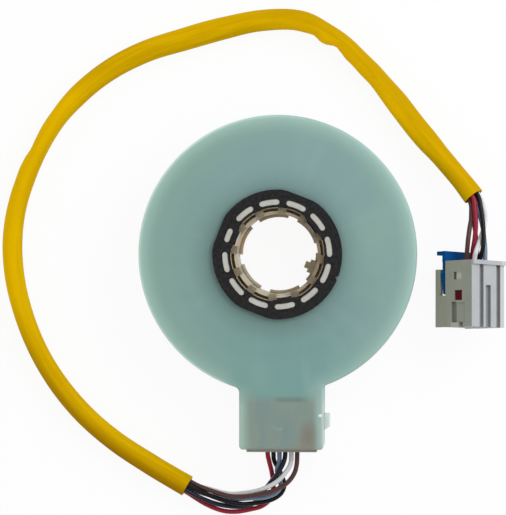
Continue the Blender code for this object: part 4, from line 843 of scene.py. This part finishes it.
LOOKS = {
    "mint_nylon": mint("mint_nylon"),
    "mint_lid": plastic("mint_lid", srgb(130, 160, 152)),
    "grey_insert": plastic("grey_insert", srgb(164, 159, 151)),
    "circuit_board": plastic("circuit_board", srgb(40, 95, 60)),
    "ribbon_film": plastic("ribbon_film", srgb(190, 140, 70)),
    "track_film": plastic("track_film", srgb(40, 40, 42)),
    "black_nylon": plastic("black_nylon", srgb(37, 36, 39), srgb(13, 13, 15), mottle=1100.0,
                           grain=2500.0, depth=0.06, Specular_IOR_Level=0.22),
    "white_nylon": plastic("white_nylon", srgb(196, 194, 188), srgb(184, 181, 172), mottle=500.0),
    "spring_steel": plastic("spring_steel", srgb(185, 185, 188), Metallic=1.0, rough=(0.25, 0.4)),
    "contact_bronze": plastic("contact_bronze", srgb(210, 165, 95), Metallic=1.0,
                              rough=(0.25, 0.4)),
    "amber_resin": amber("amber_resin"),
    "plug_grey": plug_plastic("plug_grey"),
    "lock_red": plastic("lock_red", srgb(90, 14, 14), Specular_IOR_Level=0.08),
    "lock_blue": plastic("lock_blue", srgb(0, 74, 138), Specular_IOR_Level=0.06),
    "sleeve_yellow": vinyl("sleeve_yellow"),
    "wire_red": plastic("wire_red", srgb(158, 22, 50), rough=(0.35, 0.5), Specular_IOR_Level=0.3),
    "wire_black": plastic("wire_black", srgb(7, 7, 9), rough=(0.22, 0.34), Specular_IOR_Level=0.25),
    "wire_blue": plastic("wire_blue", srgb(110, 132, 162), rough=(0.3, 0.4)),
    "wire_navy": plastic("wire_navy", srgb(24, 24, 42), rough=(0.25, 0.38), Specular_IOR_Level=0.3),
    "wire_white": plastic("wire_white", srgb(228, 228, 232), rough=(0.3, 0.4)),
    "wire_brown": plastic("wire_brown", srgb(84, 52, 48), rough=(0.35, 0.5),
                          Specular_IOR_Level=0.35),
    "tinned_copper": plastic("tinned_copper", srgb(200, 198, 192), Metallic=1.0, rough=(0.3, 0.4)),
}


def settle(item, body, slot, *nodes):
    """A finished piece rides on its body and stands for its CAD nodes, which it hides. The slot is
    not used.
    """
    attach(item, body)
    if nodes:
        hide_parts(*nodes)


def bake(item):
    """Applies what the item's modifiers do."""
    graph = bpy.context.evaluated_depsgraph_get()
    mesh = bpy.data.meshes.new_from_object(item.evaluated_get(graph))
    item.modifiers.clear()
    item.data = mesh


def smooth_group():
    """A small node group that shades every face smoothly."""
    group = bpy.data.node_groups.new("smooth_faces", "GeometryNodeTree")
    group.interface.new_socket("Geometry", in_out="INPUT", socket_type="NodeSocketGeometry")
    group.interface.new_socket("Geometry", in_out="OUTPUT", socket_type="NodeSocketGeometry")
    start = group.nodes.new("NodeGroupInput")
    smooth = group.nodes.new("GeometryNodeSetShadeSmooth")
    end = group.nodes.new("NodeGroupOutput")
    group.links.new(start.outputs[0], smooth.inputs["Geometry"])
    group.links.new(smooth.outputs[0], end.inputs[0])
    return group


SMOOTH = smooth_group()


def even_shading(item, weight):
    """Normals that follow the larger faces, so that flat faces look flat up to their edges."""
    even = item.modifiers.new("shading", "WEIGHTED_NORMAL")
    even.weight = weight


def soften(item, width):
    """Rounds the sharp edges of a CAD node and shades its curved faces smoothly."""
    plane = item.modifiers.new("planes", "DECIMATE")
    plane.decimate_type = "DISSOLVE"
    plane.angle_limit = math.radians(FLAT_ANGLE)
    edge = item.modifiers.new("edges", "BEVEL")
    edge.width = width
    edge.segments = EDGE_STEPS
    edge.limit_method = "ANGLE"
    edge.angle_limit = math.radians(SHARP_ANGLE)
    item.modifiers.new("smooth", "NODES").node_group = SMOOTH
    even_shading(item, NODE_SHADING)


# Housing


def arc_points(centre, radius, start, end, count):
    """Points of an arc, each with its direction from the centre."""
    found = []
    for i in range(count + 1):
        angle = math.radians(start + (end - start) * i / count)
        way = Vector((math.cos(angle), math.sin(angle)))
        found.append((Vector(centre) + way * radius, way))
    return found


def cover_outline():
    """Disc and tail seen from the front: place, way out and edge rounding of each point."""
    reach = HOUSING_RADIUS + NECK_ROUND
    right = Vector((TAIL_RIGHT + NECK_ROUND, 0.0))
    right.y = -math.sqrt(reach ** 2 - right.x ** 2)
    left = Vector((-TAIL_LEFT - NECK_ROUND, 0.0))
    left.y = -math.sqrt(reach ** 2 - left.x ** 2)
    start = math.degrees(math.atan2(right.y, right.x))
    end = math.degrees(math.atan2(left.y, left.x)) + 360
    disc = arc_points((0, 0), HOUSING_RADIUS, start, end, RIM_POINTS)
    rows = [(p, n, RIM_ROUND) for p, n in disc]
    left_neck = arc_points(left, NECK_ROUND, end - 180, 0, CORNER_STEPS)
    for i, (p, n) in enumerate(left_neck[1:]):
        rows.append((p, -n, RIM_ROUND + (TAIL_ROUND - RIM_ROUND) * (i + 1) / CORNER_STEPS))
    low = TAIL_CORNER - TAIL_REACH
    for side, turn in ((TAIL_CORNER - TAIL_LEFT, 180), (TAIL_RIGHT - TAIL_CORNER, 270)):
        corner = arc_points((side, low), TAIL_CORNER, turn, turn + 90, CORNER_STEPS)
        rows += [(p, n, TAIL_ROUND) for p, n in corner]
    right_neck = arc_points(right, NECK_ROUND, 180, start + 180, CORNER_STEPS)
    for i, (p, n) in enumerate(right_neck[:-1]):
        rows.append((p, -n, TAIL_ROUND + (RIM_ROUND - TAIL_ROUND) * i / CORNER_STEPS))
    return rows


def solid_block(name, low, high):
    shape = bmesh.new()
    bmesh.ops.create_cube(shape, size=1.0)
    for vert in shape.verts:
        vert.co = [a + (b - a) * (c + 0.5) for a, b, c in zip(low, high, vert.co)]
    return mesh_object(name, shape)


def solid_drum(name, radius, low, high):
    shape = bmesh.new()
    turns = [math.tau * k / RIM_POINTS for k in range(RIM_POINTS)]
    close_rings(shape, [
        [shape.verts.new((radius * math.cos(t), radius * math.sin(t), height)) for t in turns]
        for height in (low, high)
    ])
    return mesh_object(name, shape)


def cover_shell():
    """The mint cover's outside: its outline with a chamfered foot and a rounded upper edge."""
    shape = bmesh.new()
    rows = cover_outline()
    rings = []

    def ring(inset, height):
        rings.append([
            shape.verts.new((*(p - n * inset(r)), height(r))) for p, n, r in rows
        ])

    ring(lambda r: FOOT_CHAMFER, lambda r: 0.0)
    ring(lambda r: 0.0, lambda r: FOOT_CHAMFER)
    for step in range(CORNER_STEPS + 1):
        turn = math.radians(90 * step / CORNER_STEPS)
        ring(lambda r: r * (1 - math.cos(turn)),
             lambda r: HOUSING_DEPTH - r * (1 - math.sin(turn)))
    close_rings(shape, rings)
    bmesh.ops.recalc_face_normals(shape, faces=shape.faces)
    return mesh_object("cover_shell", shape, LOOKS["mint_nylon"])


def hollow_out(shell):
    """Cuts the disc's hollow, the bore and the tail's hollow out of the shell."""
    tail_low = (TAIL_WALL - TAIL_LEFT, -TAIL_REACH - CUT_PAST, -CUT_PAST)
    tail_high = (TAIL_RIGHT - TAIL_WALL, -TAIL_HOLLOW_START, PLATE_BOTTOM - TAIL_ROOF_EXTRA)
    cutters = (
        solid_drum("cavity", HOUSING_RADIUS - HOUSING_WALL, -CUT_PAST, PLATE_BOTTOM),
        solid_drum("bore", BORE_RADIUS, -CUT_PAST, HOUSING_DEPTH + CUT_PAST),
        solid_block("tail_inside", tail_low, tail_high),
    )
    for cutter in cutters:
        cut = shell.modifiers.new(cutter.name, "BOOLEAN")
        cut.operation = "DIFFERENCE"
        cut.solver = "EXACT"
        cut.object = cutter
    bake(shell)
    for cutter in cutters:
        bpy.data.objects.remove(cutter, do_unlink=True)


def build_cover():
    shell = cover_shell()
    hollow_out(shell)
    shell.data.shade_smooth()
    even_shading(shell, SHELL_SHADING)
    settle(shell, "housing", "mint_nylon", "front_cover")


def build_tab():
    shape = bmesh.new()
    close_rings(shape, [
        [shape.verts.new((x * MM, y * MM, height * MM)) for x, y in TAB_OUTLINE]
        for height in TAB_HEIGHTS
    ])
    bmesh.ops.recalc_face_normals(shape, faces=shape.faces)
    tab = mesh_object("locating_tab", shape, LOOKS["mint_nylon"])
    edge = tab.modifiers.new("edges", "BEVEL")
    edge.width = TAB_ROUND
    edge.segments = TAB_ROUND_STEPS
    bake(tab)
    tab.data.shade_smooth()
    even_shading(tab, TAB_SHADING)
    settle(tab, "housing", "mint_nylon")


# Harness


def build_wires():
    frames = sleeve_frames(WIRE_STATIONS)
    for wire in WIRE_ORDER:
        item = wire_tube(wire + "_lead", wire_line(wire, frames), LOOKS[wire])
        settle(item, "housing", wire, wire)


def build_sleeve():
    frames = sleeve_frames(SLEEVE_STATIONS)
    sleeve = sleeve_mesh("soft_sleeve", frames, LOOKS["sleeve_yellow"])
    settle(sleeve, "housing", "sleeve_yellow", "sleeve")


# CAD nodes


def dress_nodes():
    """Rounds the edges of the CAD nodes that stay, and paints every node by its slot."""
    for name, width in SOFT_EDGES.items():
        soften(NODES[name], width * MM)
    for item in NODES.values():
        for slot in item.material_slots:
            slot.material = LOOKS[slot.material.name.split(".")[0]]


# Studio


def build_key_light():
    """A soft round light that shines on the frame's origin."""
    light = bpy.data.lights.new("key", "AREA")
    light.shape = "DISK"
    light.size = KEY_SIZE
    light.energy = KEY_POWER
    light.color = KEY_COLOUR
    item = bpy.data.objects.new("key", light)
    item.location = KEY_PLACE
    item.rotation_euler = (-Vector(KEY_PLACE)).to_track_quat("-Z", "Y").to_euler()
    bpy.context.scene.collection.objects.link(item)


def build_sky():
    world = bpy.data.worlds.new("studio")
    bpy.context.scene.world = world
    world.use_nodes = True
    sky = world.node_tree.nodes["Background"]
    sky.inputs["Color"].default_value = SKY_COLOUR
    sky.inputs["Strength"].default_value = SKY


def floor_look():
    """Mostly plain white to the eye, and an ordinary pale surface for the light it throws back."""
    look = Look("floor_white", Base_Color=FLOOR_COLOUR, Roughness=0.9, Specular_IOR_Level=0.0)
    white = look.add("ShaderNodeEmission")
    white.inputs["Strength"].default_value = 1.0
    path = look.add("ShaderNodeLightPath")
    seen = look.maths("MAXIMUM", path.outputs["Is Camera Ray"],
                      look.maths("MAXIMUM", path.outputs["Is Glossy Ray"],
                                 path.outputs["Is Transmission Ray"]))
    blend = look.add("ShaderNodeMixShader")
    look.link(look.maths("MULTIPLY", seen, FLOOR_WHITE), blend.inputs[0])
    look.link(look.shader.outputs[0], blend.inputs[1])
    look.link(white.outputs[0], blend.inputs[2])
    look.link(blend.outputs[0], look.tree.nodes["Material Output"].inputs["Surface"])
    return look.made


def build_floor():
    mesh = bpy.data.meshes.new("floor")
    corners = ((-1, -1), (1, -1), (1, 1), (-1, 1))
    mesh.from_pydata([(x * FLOOR_REACH, y * FLOOR_REACH, 0.0) for x, y in corners],
                     [], [(0, 1, 2, 3)])
    mesh.materials.append(floor_look())
    floor = bpy.data.objects.new("floor", mesh)
    bpy.context.scene.collection.objects.link(floor)


def build_camera():
    """A camera that stands along CAMERA_BACK from its target, with the frame's Y upwards."""
    data = bpy.data.cameras.new("photo_camera")
    data.sensor_fit = "HORIZONTAL"
    data.sensor_width = CAMERA_SENSOR
    data.lens = CAMERA_LENS
    camera = bpy.data.objects.new("photo_camera", data)
    bpy.context.scene.collection.objects.link(camera)
    aside = Vector((0.0, 1.0, 0.0)).cross(CAMERA_BACK).normalized()
    up = CAMERA_BACK.cross(aside)
    turn = Matrix((aside, up, CAMERA_BACK)).transposed().to_4x4()
    place = CAMERA_TARGET + CAMERA_BACK * CAMERA_DISTANCE
    camera.matrix_world = Matrix.Translation(place) @ turn
    bpy.context.scene.camera = camera


build_cover()
build_tab()
build_wires()
build_sleeve()
dress_nodes()
build_key_light()
build_sky()
build_floor()
build_camera()
bpy.context.scene.view_settings.view_transform = "Standard"
